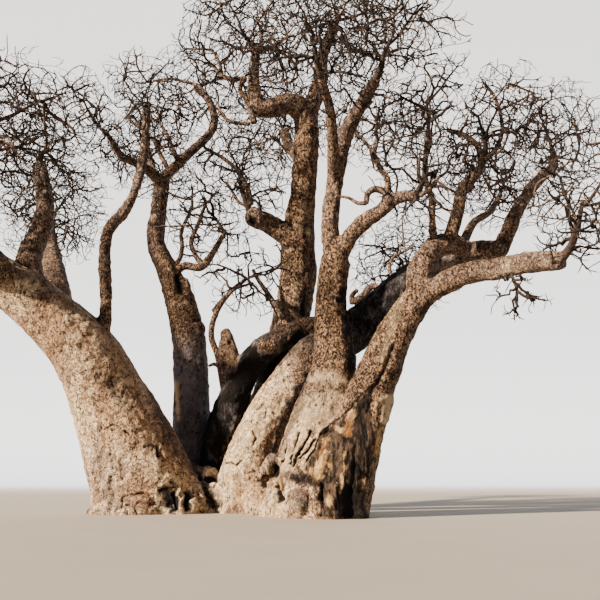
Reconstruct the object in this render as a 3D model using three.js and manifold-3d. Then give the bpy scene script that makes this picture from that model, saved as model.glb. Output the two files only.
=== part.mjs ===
// A baobab in its leafless season: seven leaning stems on one swollen root collar, crooked boughs,
// and a bare crown of twigs. Ways, sizes and places are written in metres and turned into
// millimetres when a solid is made. +Z is up, and the origin lies at ground level in the middle
// of the root collar.

import * as THREE from "three";
import { mergeVertices } from "three/addons/utils/BufferGeometryUtils.js";
import Module from "manifold-3d";

const wasm = await Module();
wasm.setup();

// Driving dimensions
const MM_PER_M = 1000;
const JOINT_GAP = 0.0003;
const BURIED_DEPTH = 0.7;
const GROUND_WIDTH = 60;
const STEM_RINGS_PER_SPAN = 2;
const BOUGH_RINGS_PER_SPAN = 1.2;
const BOUGH_SIDES = 7;
const THIN_BOUGH_SIDES = 5;
const THIN_BOUGH_RADIUS = 0.3;
const FLARE_SHARE = 0.05;
const FLARE_HEIGHT = 0.5;
const SWELLING_SIDES = 9;
const SWELLING_BANDS = 6;
const TWIG_SIDES = 3;
const LEADERS_PER_MASS = 7;
const SIDE_TWIGS_PER_LEADER = 1;
const LEADER_PARTS = 2;
const SIDE_TWIG_PARTS = 1;
const MASS_STEM_PARTS = 3;
const MASS_STEM_SHARE = 0.8;
const MASS_STEM_MOST = 0.16;
const LEADER_RADIUS = 0.055;
const SIDE_TWIG_RADIUS = 0.03;
const TWIG_CLEARANCE = 0.03;
const FIRST_SEED = 11;

// Shares that shape the twigs. Leaders leave the main stem between two shares of it and reach
// between two shares of their space, or less where that much doesn't fit. Side twigs take a
// share of the space's width and of their leader's length. A bow and its kinks are shares of
// the twig's own length.
const LEADER_ROOT_SHARES = [0.3, 0.97];
const LEADER_REACH_SHARES = [0.9, 0.98];
const LEADER_PULL_BACKS = [1, 0.8, 0.62, 0.46];
const SIDE_TWIG_SPREAD = 0.55;
const SIDE_TWIG_ADVANCE = 0.35;
const SIDE_TWIG_ROOT_DRIFT = 0.3;
const SPACE_EDGE_SHARE = 0.97;
const SPACE_EDGE_MARGIN = 0.03;
const BOW_PLACE = 0.45;
const BOW_LEAD = 0.16;
const KINK_SHARE = 0.1;

// How finely limbs and twigs are sampled when they are tested against each other
const BEADS_PER_SPAN = 8;
const SAMPLES_PER_TWIG_PART = 4;

// Colours and finishes
const PALE_BARK = { color: 0xb59f88, roughness: 0.9, metalness: 0 };
const GREY_BARK = { color: 0x857668, roughness: 0.92, metalness: 0 };
const BROWN_BARK = { color: 0x7a6350, roughness: 0.92, metalness: 0 };
const TWIG_BARK = { color: 0x55463c, roughness: 0.95, metalness: 0 };

// Each way is a list of [x, y, z, radius] in metres, from a limb's foot to its tip. A stem's
// trunkShare is the part of its way that is fused into the trunk.
const STEMS = [
  {
    name: "stem_left",
    sides: 14,
    trunkShare: 0.3,
    look: PALE_BARK,
    way: [
      [-3.7, 0.8, -BURIED_DEPTH, 2.15],
      [-3.8, 0.7, 0.3, 2.17],
      [-4.4, 0.4, 2.2, 1.92],
      [-5.5, 0.0, 4.6, 1.52],
      [-6.5, -0.5, 6.4, 1.27],
      [-7.8, -0.9, 7.7, 1.11],
      [-9.3, -1.3, 8.9, 0.96],
    ],
  },
  {
    name: "stem_slender",
    sides: 10,
    trunkShare: 0.24,
    look: GREY_BARK,
    way: [
      [-2.4, 2.7, -BURIED_DEPTH, 0.98],
      [-2.3, 2.7, 2.3, 0.84],
      [-2.5, 2.8, 4.7, 0.79],
      [-2.7, 2.9, 7.3, 0.76],
      [-3.2, 2.9, 9.3, 0.7],
      [-3.9, 2.9, 10.9, 0.5],
      [-4.5, 3.0, 12.2, 0.41],
      [-4.5, 3.1, 13.7, 0.39],
      [-4.4, 3.1, 15.6, 0.37],
    ],
  },
  {
    name: "stem_arching",
    sides: 10,
    trunkShare: 0.3,
    look: GREY_BARK,
    way: [
      [-1.1, 2.6, -BURIED_DEPTH, 1.12],
      [-1.1, 2.3, 1.6, 1.0],
      [-0.7, 1.8, 4.0, 0.74],
      [-0.2, 1.6, 5.3, 0.64],
      [0.4, 1.3, 6.3, 0.58],
      [1.4, 1.1, 7.1, 0.52],
      [2.9, 1.3, 7.8, 0.46],
    ],
  },
  {
    name: "stem_tall",
    sides: 10,
    trunkShare: 0.22,
    look: BROWN_BARK,
    way: [
      [0.1, 2.7, -BURIED_DEPTH, 1.35],
      [0.6, 2.6, 3.0, 0.96],
      [1.3, 2.6, 5.6, 0.82],
      [1.9, 2.8, 8.0, 0.84],
      [2.3, 2.9, 10.4, 0.86],
      [2.3, 2.8, 12.3, 0.78],
      [2.5, 2.5, 14.3, 0.6],
      [2.7, 2.0, 16.6, 0.58],
      [2.7, 1.6, 18.2, 0.53],
    ],
  },
  {
    name: "stem_crossing",
    sides: 11,
    trunkShare: 0.38,
    look: PALE_BARK,
    way: [
      [0.1, 0.7, -BURIED_DEPTH, 1.36],
      [0.3, 0.4, 1.2, 1.2],
      [1.0, 0.0, 3.4, 0.97],
      [1.8, -0.2, 4.7, 0.9],
      [2.8, -0.2, 6.0, 0.87],
      [4.6, -0.4, 7.2, 0.83],
    ],
  },
  {
    name: "stem_centre",
    sides: 12,
    trunkShare: 0.4,
    look: BROWN_BARK,
    way: [
      [2.7, -2.1, -BURIED_DEPTH, 1.72],
      [2.85, -2.1, 1.0, 1.58],
      [3.2, -2.0, 3.2, 1.24],
      [3.7, -2.0, 5.4, 0.86],
      [3.6, -2.0, 7.9, 0.61],
      [3.8, -2.0, 9.8, 0.56],
    ],
  },
  {
    name: "stem_right",
    sides: 11,
    trunkShare: 0.5,
    look: BROWN_BARK,
    way: [
      [3.4, -3.1, -BURIED_DEPTH, 1.18],
      [3.9, -3.05, 1.2, 1.15],
      [4.5, -3.0, 3.1, 0.97],
      [5.0, -3.1, 4.4, 0.81],
      [5.7, -3.2, 6.0, 0.71],
      [6.3, -3.2, 7.1, 0.62],
      [6.9, -3.2, 8.0, 0.55],
    ],
  },
];

// Swellings of the root collar, as [x, y, z, reach along x, along y, along z]: the shelf between
// the left and crossing stems, the filled middle, and the lobes round the foot.
const COLLAR_SWELLINGS = [
  [-1.6, 1.0, 0.3, 1.5, 1.5, 1.5],
  [-0.2, 1.9, 0.2, 2.6, 1.9, 1.7],
  [1.4, -1.0, 0.2, 1.2, 1.2, 1.6],
  [-2.4, -0.5, 0.0, 0.9, 0.8, 0.7],
  [-4.4, -1.2, 0.0, 1.3, 0.6, 0.6],
  [-5.2, 1.9, 0.0, 1.2, 1.0, 0.8],
  [2.4, -3.3, 0.2, 0.7, 0.6, 0.9],
  [3.5, -3.9, 0.1, 0.6, 0.5, 0.9],
  [-2.5, 3.3, 0.0, 1.3, 1.0, 0.8],
  [0.3, 3.5, 0.0, 1.5, 1.0, 0.9],
  [3.9, -0.9, 0.0, 1.0, 1.1, 1.0],
];

const BOUGHS = [
  {
    name: "bough_left_outer",
    way: [
      [-9.3, -1.3, 8.9, 0.9],
      [-10.9, -1.7, 10.0, 0.73],
      [-12.3, -2.0, 11.2, 0.53],
      [-13.2, -2.4, 12.0, 0.36],
    ],
  },
  {
    name: "bough_left_upper",
    way: [
      [-8.4, -1.1, 8.3, 0.61],
      [-9.1, -0.5, 10.2, 0.51],
      [-8.9, 0.2, 12.6, 0.4],
      [-9.5, 0.6, 15.2, 0.3],
    ],
  },
  {
    name: "bough_left_rear",
    way: [
      [-7.5, -0.6, 7.4, 0.7],
      [-8.6, 1.6, 9.4, 0.62],
      [-9.9, 4.2, 11.8, 0.49],
      [-10.8, 5.8, 13.8, 0.33],
    ],
  },
  {
    name: "bough_left_front",
    way: [
      [-8.9, -1.2, 8.6, 0.6],
      [-9.8, -3.2, 9.8, 0.49],
      [-9.4, -5.0, 11.1, 0.34],
      [-8.4, -6.2, 12.0, 0.22],
    ],
  },
  {
    name: "bough_left_riser",
    way: [
      [-5.8, -0.4, 5.8, 0.33],
      [-5.7, -0.5, 8.0, 0.25],
      [-5.9, -0.3, 11.6, 0.24],
      [-5.2, -0.1, 12.8, 0.22],
      [-4.7, 0.2, 15.0, 0.2],
      [-4.7, 0.4, 18.0, 0.16],
    ],
  },
  {
    name: "bough_slender_right",
    way: [
      [-4.4, 3.1, 15.6, 0.27],
      [-3.3, 3.3, 16.9, 0.24],
      [-2.0, 3.4, 18.6, 0.2],
      [-2.3, 3.4, 20.1, 0.18],
      [-3.0, 3.4, 20.8, 0.15],
    ],
  },
  {
    name: "bough_slender_left",
    way: [
      [-4.4, 3.1, 15.4, 0.27],
      [-5.1, 2.5, 15.9, 0.22],
      [-6.1, 1.7, 16.2, 0.18],
      [-6.4, 1.0, 16.6, 0.14],
    ],
  },
  {
    name: "bough_slender_rear",
    way: [[-4.4, 3.1, 15.0, 0.28], [-5.1, 4.9, 16.4, 0.22], [-5.9, 6.9, 18.2, 0.17]],
  },
  {
    name: "bough_slender_side",
    way: [
      [-3.7, 2.9, 10.5, 0.24],
      [-3.1, 2.7, 11.0, 0.19],
      [-2.2, 2.5, 10.9, 0.17],
      [-1.6, 2.2, 11.6, 0.14],
      [-1.1, 1.9, 12.4, 0.11],
    ],
  },
  {
    name: "bough_arching_riser",
    way: [
      [-0.8, 1.7, 4.9, 0.22],
      [-1.2, 1.4, 6.5, 0.14],
      [-1.5, 1.3, 7.4, 0.13],
      [-1.3, 1.2, 8.4, 0.12],
      [-0.7, 1.1, 9.3, 0.1],
      [-0.1, 1.0, 9.8, 0.09],
    ],
  },
  {
    name: "bough_arching_stub",
    way: [[-0.4, 1.5, 5.7, 0.32], [-0.6, 1.4, 6.7, 0.28], [-0.9, 1.4, 7.6, 0.25]],
  },
  {
    name: "bough_arching_reach",
    way: [
      [2.9, 1.3, 7.8, 0.45],
      [4.7, 2.4, 8.2, 0.43],
      [6.6, 4.2, 9.4, 0.38],
      [8.0, 5.8, 10.7, 0.29],
    ],
  },
  {
    name: "bough_tall_side",
    way: [[2.2, 2.8, 12.2, 0.5], [1.1, 2.4, 12.9, 0.47], [0.1, 2.0, 13.3, 0.44]],
  },
  {
    name: "bough_tall_top",
    way: [
      [2.7, 1.6, 18.2, 0.48],
      [1.9, 1.2, 18.6, 0.48],
      [0.5, 1.0, 18.3, 0.43],
      [0.2, 0.7, 19.6, 0.28],
      [0.3, 0.5, 21.1, 0.21],
    ],
  },
  {
    name: "bough_tall_right",
    way: [
      [2.7, 1.7, 18.0, 0.45],
      [3.3, 1.3, 19.7, 0.36],
      [3.5, 1.0, 21.2, 0.29],
      [4.1, 0.8, 22.6, 0.22],
    ],
  },
  {
    name: "bough_tall_rear",
    way: [
      [2.5, 2.3, 15.4, 0.48],
      [2.4, 4.5, 17.4, 0.4],
      [1.8, 6.6, 19.2, 0.31],
      [1.5, 7.9, 20.6, 0.24],
    ],
  },
  {
    name: "bough_crossing_reach",
    way: [
      [4.6, -0.4, 7.2, 0.83],
      [5.5, -0.7, 7.9, 0.78],
      [6.4, -0.8, 8.8, 0.71],
      [7.8, -0.8, 9.9, 0.54],
      [9.5, -1.0, 10.5, 0.42],
      [10.7, -1.3, 10.5, 0.35],
    ],
  },
  {
    name: "bough_crossing_rise",
    way: [
      [10.7, -1.3, 10.5, 0.34],
      [11.6, -1.0, 12.3, 0.28],
      [12.6, -0.6, 13.7, 0.22],
      [13.7, -0.3, 14.8, 0.18],
    ],
  },
  {
    name: "bough_centre_left",
    way: [
      [3.8, -2.0, 9.7, 0.4],
      [3.6, -2.0, 11.1, 0.37],
      [3.8, -2.1, 12.9, 0.34],
      [4.1, -2.6, 14.4, 0.31],
      [4.5, -3.1, 15.4, 0.28],
      [5.4, -4.0, 16.7, 0.22],
    ],
  },
  {
    name: "bough_centre_right",
    way: [
      [3.8, -2.0, 9.5, 0.36],
      [4.4, -2.3, 10.7, 0.32],
      [5.0, -2.8, 11.2, 0.3],
      [5.6, -3.5, 11.4, 0.25],
      [6.1, -4.2, 11.6, 0.23],
      [6.7, -4.9, 11.4, 0.18],
    ],
  },
  {
    name: "bough_centre_spur",
    way: [
      [5.6, -3.5, 11.4, 0.15],
      [5.9, -3.0, 12.8, 0.13],
      [5.7, -2.6, 13.5, 0.12],
      [5.5, -2.0, 14.4, 0.11],
      [5.7, -1.5, 15.4, 0.1],
    ],
  },
  {
    name: "bough_centre_front",
    way: [[3.8, -2.2, 13.1, 0.26], [3.6, -4.3, 15.0, 0.19], [3.2, -5.7, 15.7, 0.15]],
  },
  {
    name: "bough_right_level",
    way: [
      [6.7, -3.2, 7.8, 0.48],
      [7.8, -3.7, 8.4, 0.43],
      [8.6, -4.3, 8.6, 0.41],
      [9.4, -4.9, 8.6, 0.37],
      [10.2, -5.6, 8.6, 0.35],
      [11.1, -6.5, 8.4, 0.32],
    ],
  },
  {
    name: "bough_right_bend",
    way: [
      [6.9, -3.2, 8.0, 0.52],
      [7.1, -2.9, 9.2, 0.49],
      [7.7, -2.6, 10.1, 0.46],
      [8.4, -2.4, 10.4, 0.42],
      [9.0, -2.3, 10.2, 0.36],
    ],
  },
  {
    name: "bough_right_riser",
    way: [
      [8.3, -2.4, 10.4, 0.28],
      [8.7, -2.8, 11.7, 0.24],
      [8.8, -3.1, 12.3, 0.22],
      [9.4, -3.7, 13.0, 0.18],
    ],
  },
  {
    name: "bough_right_thin",
    way: [
      [7.7, -2.7, 10.1, 0.17],
      [7.6, -2.9, 11.2, 0.14],
      [7.6, -3.1, 12.0, 0.13],
      [7.3, -3.5, 12.7, 0.12],
      [7.4, -4.0, 14.5, 0.1],
    ],
  },
  {
    name: "bough_right_fork",
    way: [
      [8.8, -2.3, 10.2, 0.2],
      [9.6, -1.5, 11.6, 0.16],
      [10.6, -0.4, 12.5, 0.14],
      [11.5, 0.8, 13.8, 0.12],
    ],
  },
];

// Twig masses: each keeps to an ellipsoid, given by its centre and its reach along x, y and z,
// and grows from the tip of the bough of the same name, unless another bough and a share of its
// way are stated.
const MASSES = [
  { name: "twigs_left_outer", centre: [-12.8, -2.6, 13.2], reach: [3.3, 3.6, 3.1] },
  { name: "twigs_left_upper", centre: [-9.3, 0.8, 16.4], reach: [3.3, 3.4, 3.1] },
  { name: "twigs_left_rear", centre: [-11.0, 6.7, 15.2], reach: [3.5, 3.5, 3.0] },
  { name: "twigs_left_front", centre: [-8.2, -6.9, 13.6], reach: [3.4, 3.1, 2.8] },
  { name: "twigs_left_riser", centre: [-4.9, 0.2, 18.0], reach: [2.8, 3.0, 2.5] },
  { name: "twigs_slender_left", centre: [-7.0, 0.3, 17.2], reach: [2.8, 2.8, 2.7] },
  { name: "twigs_slender_right", centre: [-2.6, 3.4, 20.9], reach: [3.0, 3.0, 2.5] },
  { name: "twigs_slender_rear", centre: [-6.1, 7.8, 19.3], reach: [3.4, 3.2, 2.8] },
  { name: "twigs_slender_side", centre: [-1.9, 1.9, 13.4], reach: [2.7, 2.9, 2.6] },
  { name: "twigs_arching_riser", centre: [0.2, 0.7, 9.9], reach: [2.6, 2.5, 2.3] },
  { name: "twigs_arching_reach", centre: [8.0, 6.9, 12.3], reach: [3.3, 3.4, 3.0] },
  { name: "twigs_tall_side", centre: [-0.4, 1.9, 15.4], reach: [2.9, 3.0, 3.1] },
  { name: "twigs_tall_top", centre: [-0.1, 0.4, 21.6], reach: [3.7, 3.5, 3.4] },
  { name: "twigs_tall_right", centre: [4.2, 0.7, 22.9], reach: [3.6, 3.5, 2.6] },
  { name: "twigs_tall_rear", centre: [1.3, 8.6, 21.5], reach: [3.9, 3.2, 3.2] },
  { name: "twigs_centre_left", centre: [5.9, -4.9, 17.8], reach: [3.2, 3.2, 2.9] },
  { name: "twigs_centre_front", centre: [2.9, -6.5, 16.8], reach: [2.8, 3.0, 2.6] },
  { name: "twigs_centre_spur", centre: [5.7, -0.8, 16.9], reach: [2.8, 2.8, 2.4] },
  { name: "twigs_centre_right", centre: [6.9, -5.7, 12.2], reach: [2.5, 2.8, 2.6] },
  { name: "twigs_right_riser", centre: [9.6, -4.4, 14.3], reach: [3.0, 3.1, 2.7] },
  { name: "twigs_right_thin", centre: [7.4, -4.4, 15.7], reach: [2.4, 2.6, 2.3] },
  { name: "twigs_right_fork", centre: [12.0, 2.0, 15.0], reach: [2.8, 3.2, 2.6] },
  { name: "twigs_crossing_rise", centre: [13.7, 0.1, 16.2], reach: [2.9, 3.2, 2.8] },
  { name: "twigs_right_level", centre: [11.9, -6.9, 10.4], reach: [2.3, 2.6, 2.7] },
  {
    name: "twigs_right_low",
    from: "bough_right_level",
    share: 0.72,
    centre: [9.9, -5.4, 7.4],
    reach: [1.3, 1.3, 0.9],
  },
];

// Random numbers between 0 and 1 that a seed fixes.
function seededRandom(seed) {
  let state = seed >>> 0;
  return () => {
    state = (state + 0x6d2b79f5) >>> 0;
    let mixed = Math.imul(state ^ (state >>> 15), state | 1);
    mixed ^= mixed + Math.imul(mixed ^ (mixed >>> 7), mixed | 61);
    return ((mixed ^ (mixed >>> 14)) >>> 0) / 2 ** 32;
  };
}

function vectorOf([x, y, z]) {
  return new THREE.Vector3(x, y, z);
}

// A direction square to the given one.
function anySideways(direction) {
  const steep = Math.abs(direction.z) > 0.8;
  const helper = steep ? new THREE.Vector3(1, 0, 0) : new THREE.Vector3(0, 0, 1);
  return helper.cross(direction).normalize();
}

// A solid from a three.js geometry in metres. Only its positions are kept, so shared corners merge.
function solidFromGeometry(geometry) {
  geometry.deleteAttribute("normal");
  geometry.deleteAttribute("uv");
  const merged = mergeVertices(geometry, 1e-6);
  return new wasm.Manifold(
    new wasm.Mesh({
      numProp: 3,
      vertProperties: Float32Array.from(merged.attributes.position.array, (value) => value * MM_PER_M),
      triVerts: Uint32Array.from(merged.index.array),
    }),
  );
}

// A closed tapering tube through rings of { point, radius, tangent }. A last radius of 0 is a point.
function tubeSolid(rings, sides) {
  const positions = [];
  const faces = [];
  let sideways = anySideways(rings[0].tangent);
  rings.forEach(({ point, radius, tangent }) => {
    sideways = sideways.clone().addScaledVector(tangent, -sideways.dot(tangent)).normalize();
    const across = tangent.clone().cross(sideways);
    const corners = radius > 0 ? sides : 1;
    for (let side = 0; side < corners; side++) {
      const turn = (2 * Math.PI * side) / sides;
      const corner = point.clone();
      corner.addScaledVector(sideways, radius * Math.cos(turn));
      corner.addScaledVector(across, radius * Math.sin(turn));
      positions.push(corner.x, corner.y, corner.z);
    }
  });
  const pointed = rings[rings.length - 1].radius === 0;
  const bands = rings.length - 1;
  for (let band = 0; band < bands; band++) {
    for (let side = 0; side < sides; side++) {
      const next = (side + 1) % sides;
      const low = band * sides;
      const high = low + sides;
      if (pointed && band === bands - 1) {
        faces.push(low + side, low + next, high);
      } else {
        faces.push(low + side, low + next, high + next, low + side, high + next, high + side);
      }
    }
  }
  for (let side = 1; side < sides - 1; side++) {
    faces.push(0, side + 1, side);
    if (!pointed) faces.push(bands * sides, bands * sides + side, bands * sides + side + 1);
  }
  const geometry = new THREE.BufferGeometry();
  geometry.setAttribute("position", new THREE.Float32BufferAttribute(positions, 3));
  geometry.setIndex(faces);
  return solidFromGeometry(geometry);
}

// Where a limb's radius stands at a share of its way.
function radiusAt(way, share) {
  const place = share * (way.length - 1);
  const low = Math.min(Math.floor(place), way.length - 2);
  return THREE.MathUtils.lerp(way[low][3], way[low + 1][3], place - low);
}

function curveOf(way) {
  return new THREE.CatmullRomCurve3(way.map(vectorOf), false, "centripetal");
}

// Rings along a limb's way between two shares of it. The foot of a stem flares a little.
function ringsAlong({ way, trunkShare }, fromShare, toShare, grow) {
  const curve = curveOf(way);
  const ringsPerSpan = trunkShare ? STEM_RINGS_PER_SPAN : BOUGH_RINGS_PER_SPAN;
  const bands = Math.max(1, Math.round((toShare - fromShare) * (way.length - 1) * ringsPerSpan));
  return Array.from({ length: bands + 1 }, (_, band) => {
    const share = THREE.MathUtils.lerp(fromShare, toShare, band / bands);
    const point = curve.getPoint(share);
    const flare = 1 + FLARE_SHARE * Math.exp(-Math.max(point.z, 0) / FLARE_HEIGHT);
    return { point, radius: radiusAt(way, share) * flare + grow, tangent: curve.getTangent(share) };
  });
}

// A limb's solid between two shares of its way. A grown one is larger all round by the gap that
// touching pieces keep, its ends included, and serves to cut its neighbours.
function limbSolid(limb, fromShare = 0, toShare = 1, grow = 0) {
  const rings = ringsAlong(limb, fromShare, toShare, grow);
  const last = rings[rings.length - 1];
  rings[0].point.addScaledVector(rings[0].tangent, -grow);
  last.point.addScaledVector(last.tangent, grow);
  const thin = limb.way[0][3] < THIN_BOUGH_RADIUS;
  return tubeSolid(rings, limb.sides ?? (thin ? THIN_BOUGH_SIDES : BOUGH_SIDES));
}

// A swelling of the collar: a stretched ball.
function swellingSolid([x, y, z, alongX, alongY, alongZ], grow = 0) {
  const geometry = new THREE.SphereGeometry(1, SWELLING_SIDES, SWELLING_BANDS);
  geometry.rotateX(Math.PI / 2);
  geometry.scale(alongX + grow, alongY + grow, alongZ + grow);
  geometry.translate(x, y, z);
  return solidFromGeometry(geometry);
}

function boxesMeet(one, other) {
  const a = one.boundingBox();
  const b = other.boundingBox();
  return [0, 1, 2].every((axis) => a.min[axis] <= b.max[axis] && b.min[axis] <= a.max[axis]);
}

function largestPiece(solid) {
  return solid.decompose().reduce((best, piece) => (piece.volume() > best.volume() ? piece : best));
}

// The solid with every cutter taken away and loose scraps dropped.
function clearOf(solid, cutters) {
  let cleared = solid;
  for (const cutter of cutters) {
    if (boxesMeet(cleared, cutter)) cleared = cleared.subtract(cutter);
  }
  return largestPiece(cleared);
}

// The trunk: the stems' feet and the collar's swellings as one body.
function trunkSolid(grow = 0) {
  const feet = STEMS.map((stem) => limbSolid(stem, 0, stem.trunkShare, grow));
  const swellings = COLLAR_SWELLINGS.map((swelling) => swellingSolid(swelling, grow));
  return [...feet, ...swellings].reduce((joined, piece) => joined.add(piece));
}

// Everything under ground level, which the flat cut takes away.
function groundSolid() {
  const geometry = new THREE.BoxGeometry(GROUND_WIDTH, GROUND_WIDTH, GROUND_WIDTH);
  geometry.translate(0, 0, -GROUND_WIDTH / 2);
  return solidFromGeometry(geometry);
}

// Points and radii along a limb, close enough together to test a twig against.
function limbBeads({ way }) {
  const bands = (way.length - 1) * BEADS_PER_SPAN;
  const curve = curveOf(way);
  return Array.from({ length: bands + 1 }, (_, bead) => {
    return { point: curve.getPoint(bead / bands), radius: radiusAt(way, bead / bands) };
  });
}

// How far a point lies from a mass's centre, where 1 is the edge of its space.
function depthIn({ centre, reach }, point) {
  const [x, y, z] = centre;
  const [alongX, alongY, alongZ] = reach;
  return Math.hypot((point.x - x) / alongX, (point.y - y) / alongY, (point.z - z) / alongZ);
}

// Whether a point lies in a mass's own space: inside its edge, and deeper in it than in any other.
function ownsPoint(mass, point) {
  const depth = depthIn(mass, point);
  if (depth > 1) return false;
  return MASSES.every((other) => other === mass || depthIn(other, point) >= depth + SPACE_EDGE_MARGIN);
}

// Whether a twig stays in its mass's own space and clear of every limb.
function twigFits(mass, points, radius, beads) {
  const parts = points.length - 1;
  return Array.from({ length: parts * SAMPLES_PER_TWIG_PART }, (_, sample) => {
    const part = Math.floor(sample / SAMPLES_PER_TWIG_PART);
    const share = ((sample % SAMPLES_PER_TWIG_PART) + 1) / SAMPLES_PER_TWIG_PART;
    return points[part].clone().lerp(points[part + 1], share);
  }).every((at) => {
    const touches = (bead) => bead.point.distanceTo(at) < bead.radius + radius + TWIG_CLEARANCE;
    return ownsPoint(mass, at) && !beads.some(touches);
  });
}

// A vector with each part between -0.5 and 0.5.
function randomOffset(random) {
  return new THREE.Vector3(random() - 0.5, random() - 0.5, random() - 0.5);
}

// A twig's kinks: one for each of its inner points.
function twigKinks(parts, random) {
  return Array.from({ length: parts - 1 }, () => randomOffset(random));
}

// A twig's points: a bow from its root to its end, pulled along a lead direction, with small kinks.
function twigPoints(root, end, lead, kinks) {
  const parts = kinks.length + 1;
  const length = root.distanceTo(end);
  const bow = root.clone().lerp(end, BOW_PLACE).addScaledVector(lead, BOW_LEAD * length);
  return Array.from({ length: parts + 1 }, (_, index) => {
    const share = index / parts;
    const point = root.clone().multiplyScalar((1 - share) ** 2);
    point.addScaledVector(bow, 2 * share * (1 - share)).addScaledVector(end, share ** 2);
    const inner = index > 0 && index < parts;
    return inner ? point.addScaledVector(kinks[index - 1], KINK_SHARE * length) : point;
  });
}

// A three-sided twig that tapers from its root to its end.
function twigSolid(points, rootRadius, endRadius) {
  const rings = points.map((point, index) => {
    const before = points[Math.max(index - 1, 0)];
    const after = points[Math.min(index + 1, points.length - 1)];
    const radius = THREE.MathUtils.lerp(rootRadius, endRadius, index / (points.length - 1));
    return { point, radius, tangent: after.clone().sub(before).normalize() };
  });
  return tubeSolid(rings, TWIG_SIDES);
}

// Where a mass's main stem leaves its bough: at the tip, or at the stated share of the way.
function stemRoot(mass, bough) {
  const root = curveOf(bough.way).getPoint(mass.share ?? 1);
  if (mass.share) return { root, lead: vectorOf(mass.centre).sub(root).normalize(), radius: LEADER_RADIUS };
  const radius = Math.min(MASS_STEM_SHARE * radiusAt(bough.way, 1), MASS_STEM_MOST);
  return { root, lead: curveOf(bough.way).getTangent(1), radius };
}

// One of the evenly spread directions in which the leaders fan out.
function leaderDirection(leader, firstTurn) {
  const height = 1 - (2 * leader + 1) / LEADERS_PER_MASS;
  const turn = firstTurn + Math.PI * (3 - Math.sqrt(5)) * leader;
  const around = Math.sqrt(1 - height * height);
  return new THREE.Vector3(around * Math.cos(turn), around * Math.sin(turn), height);
}

// A side twig's points, from its leader's middle to a place drawn at random inside the space.
function sideTwigPoints(mass, leaderPoints, random) {
  const centre = vectorOf(mass.centre);
  const advance = leaderPoints[LEADER_PARTS].clone().sub(leaderPoints[0]);
  const root = leaderPoints[1].clone().lerp(leaderPoints[LEADER_PARTS], SIDE_TWIG_ROOT_DRIFT * random());
  const drift = randomOffset(random).normalize().multiply(vectorOf(mass.reach));
  const end = root.clone().addScaledVector(drift, SIDE_TWIG_SPREAD);
  end.addScaledVector(advance, SIDE_TWIG_ADVANCE);
  const depth = depthIn(mass, end);
  if (depth > SPACE_EDGE_SHARE) end.sub(centre).multiplyScalar(SPACE_EDGE_SHARE / depth).add(centre);
  return twigPoints(root, end, advance.normalize(), twigKinks(SIDE_TWIG_PARTS, random));
}

// Leaders fan out from the main stem to points spread evenly over the edge of the space, and side
// twigs fill in between them. A twig that would leave the space or touch a limb is skipped.
function massSolid(mass, bough, beads) {
  const random = seededRandom(FIRST_SEED + MASSES.indexOf(mass));
  const centre = vectorOf(mass.centre);
  const stem = stemRoot(mass, bough);
  const stemPoints = twigPoints(stem.root, centre, stem.lead, twigKinks(MASS_STEM_PARTS, random));
  const stemCurve = new THREE.CatmullRomCurve3(stemPoints, false, "centripetal");
  const twigs = [twigSolid(stemPoints, stem.radius, LEADER_RADIUS)];
  const firstTurn = 2 * Math.PI * random();
  const [rootLow, rootHigh] = LEADER_ROOT_SHARES;
  const [reachLow, reachHigh] = LEADER_REACH_SHARES;
  for (let leader = 0; leader < LEADERS_PER_MASS; leader++) {
    const outward = leaderDirection(leader, firstTurn);
    const reachShare = THREE.MathUtils.lerp(reachLow, reachHigh, random());
    const forward = (1 + outward.dot(stem.lead)) / 2;
    const share = THREE.MathUtils.lerp(rootLow, rootHigh, forward);
    const root = stemCurve.getPoint(share);
    const kinks = twigKinks(LEADER_PARTS, random);
    const tries = LEADER_PULL_BACKS.map((pullBack) => {
      const end = outward.clone().multiply(vectorOf(mass.reach)).multiplyScalar(reachShare * pullBack);
      return twigPoints(root, end.add(centre), stemCurve.getTangent(share), kinks);
    });
    const points = tries.find((tried) => twigFits(mass, tried, LEADER_RADIUS, beads));
    const sideTwigs = Array.from({ length: SIDE_TWIGS_PER_LEADER }, () => {
      return sideTwigPoints(mass, points ?? tries[0], random);
    });
    if (!points) continue;
    twigs.push(twigSolid(points, LEADER_RADIUS, 0));
    const fitting = sideTwigs.filter((side) => twigFits(mass, side, SIDE_TWIG_RADIUS, beads));
    twigs.push(...fitting.map((side) => twigSolid(side, SIDE_TWIG_RADIUS, 0)));
  }
  return twigs.reduce((joined, twig) => joined.add(twig));
}

// A named mesh from a solid.
function meshOf(name, solid, look) {
  const { vertProperties, triVerts } = solid.getMesh();
  const geometry = new THREE.BufferGeometry();
  geometry.setAttribute("position", new THREE.BufferAttribute(Float32Array.from(vertProperties), 3));
  geometry.setIndex(new THREE.BufferAttribute(Uint32Array.from(triVerts), 1));
  geometry.computeVertexNormals();
  const mesh = new THREE.Mesh(geometry, new THREE.MeshStandardMaterial(look));
  mesh.name = name;
  return mesh;
}

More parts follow.
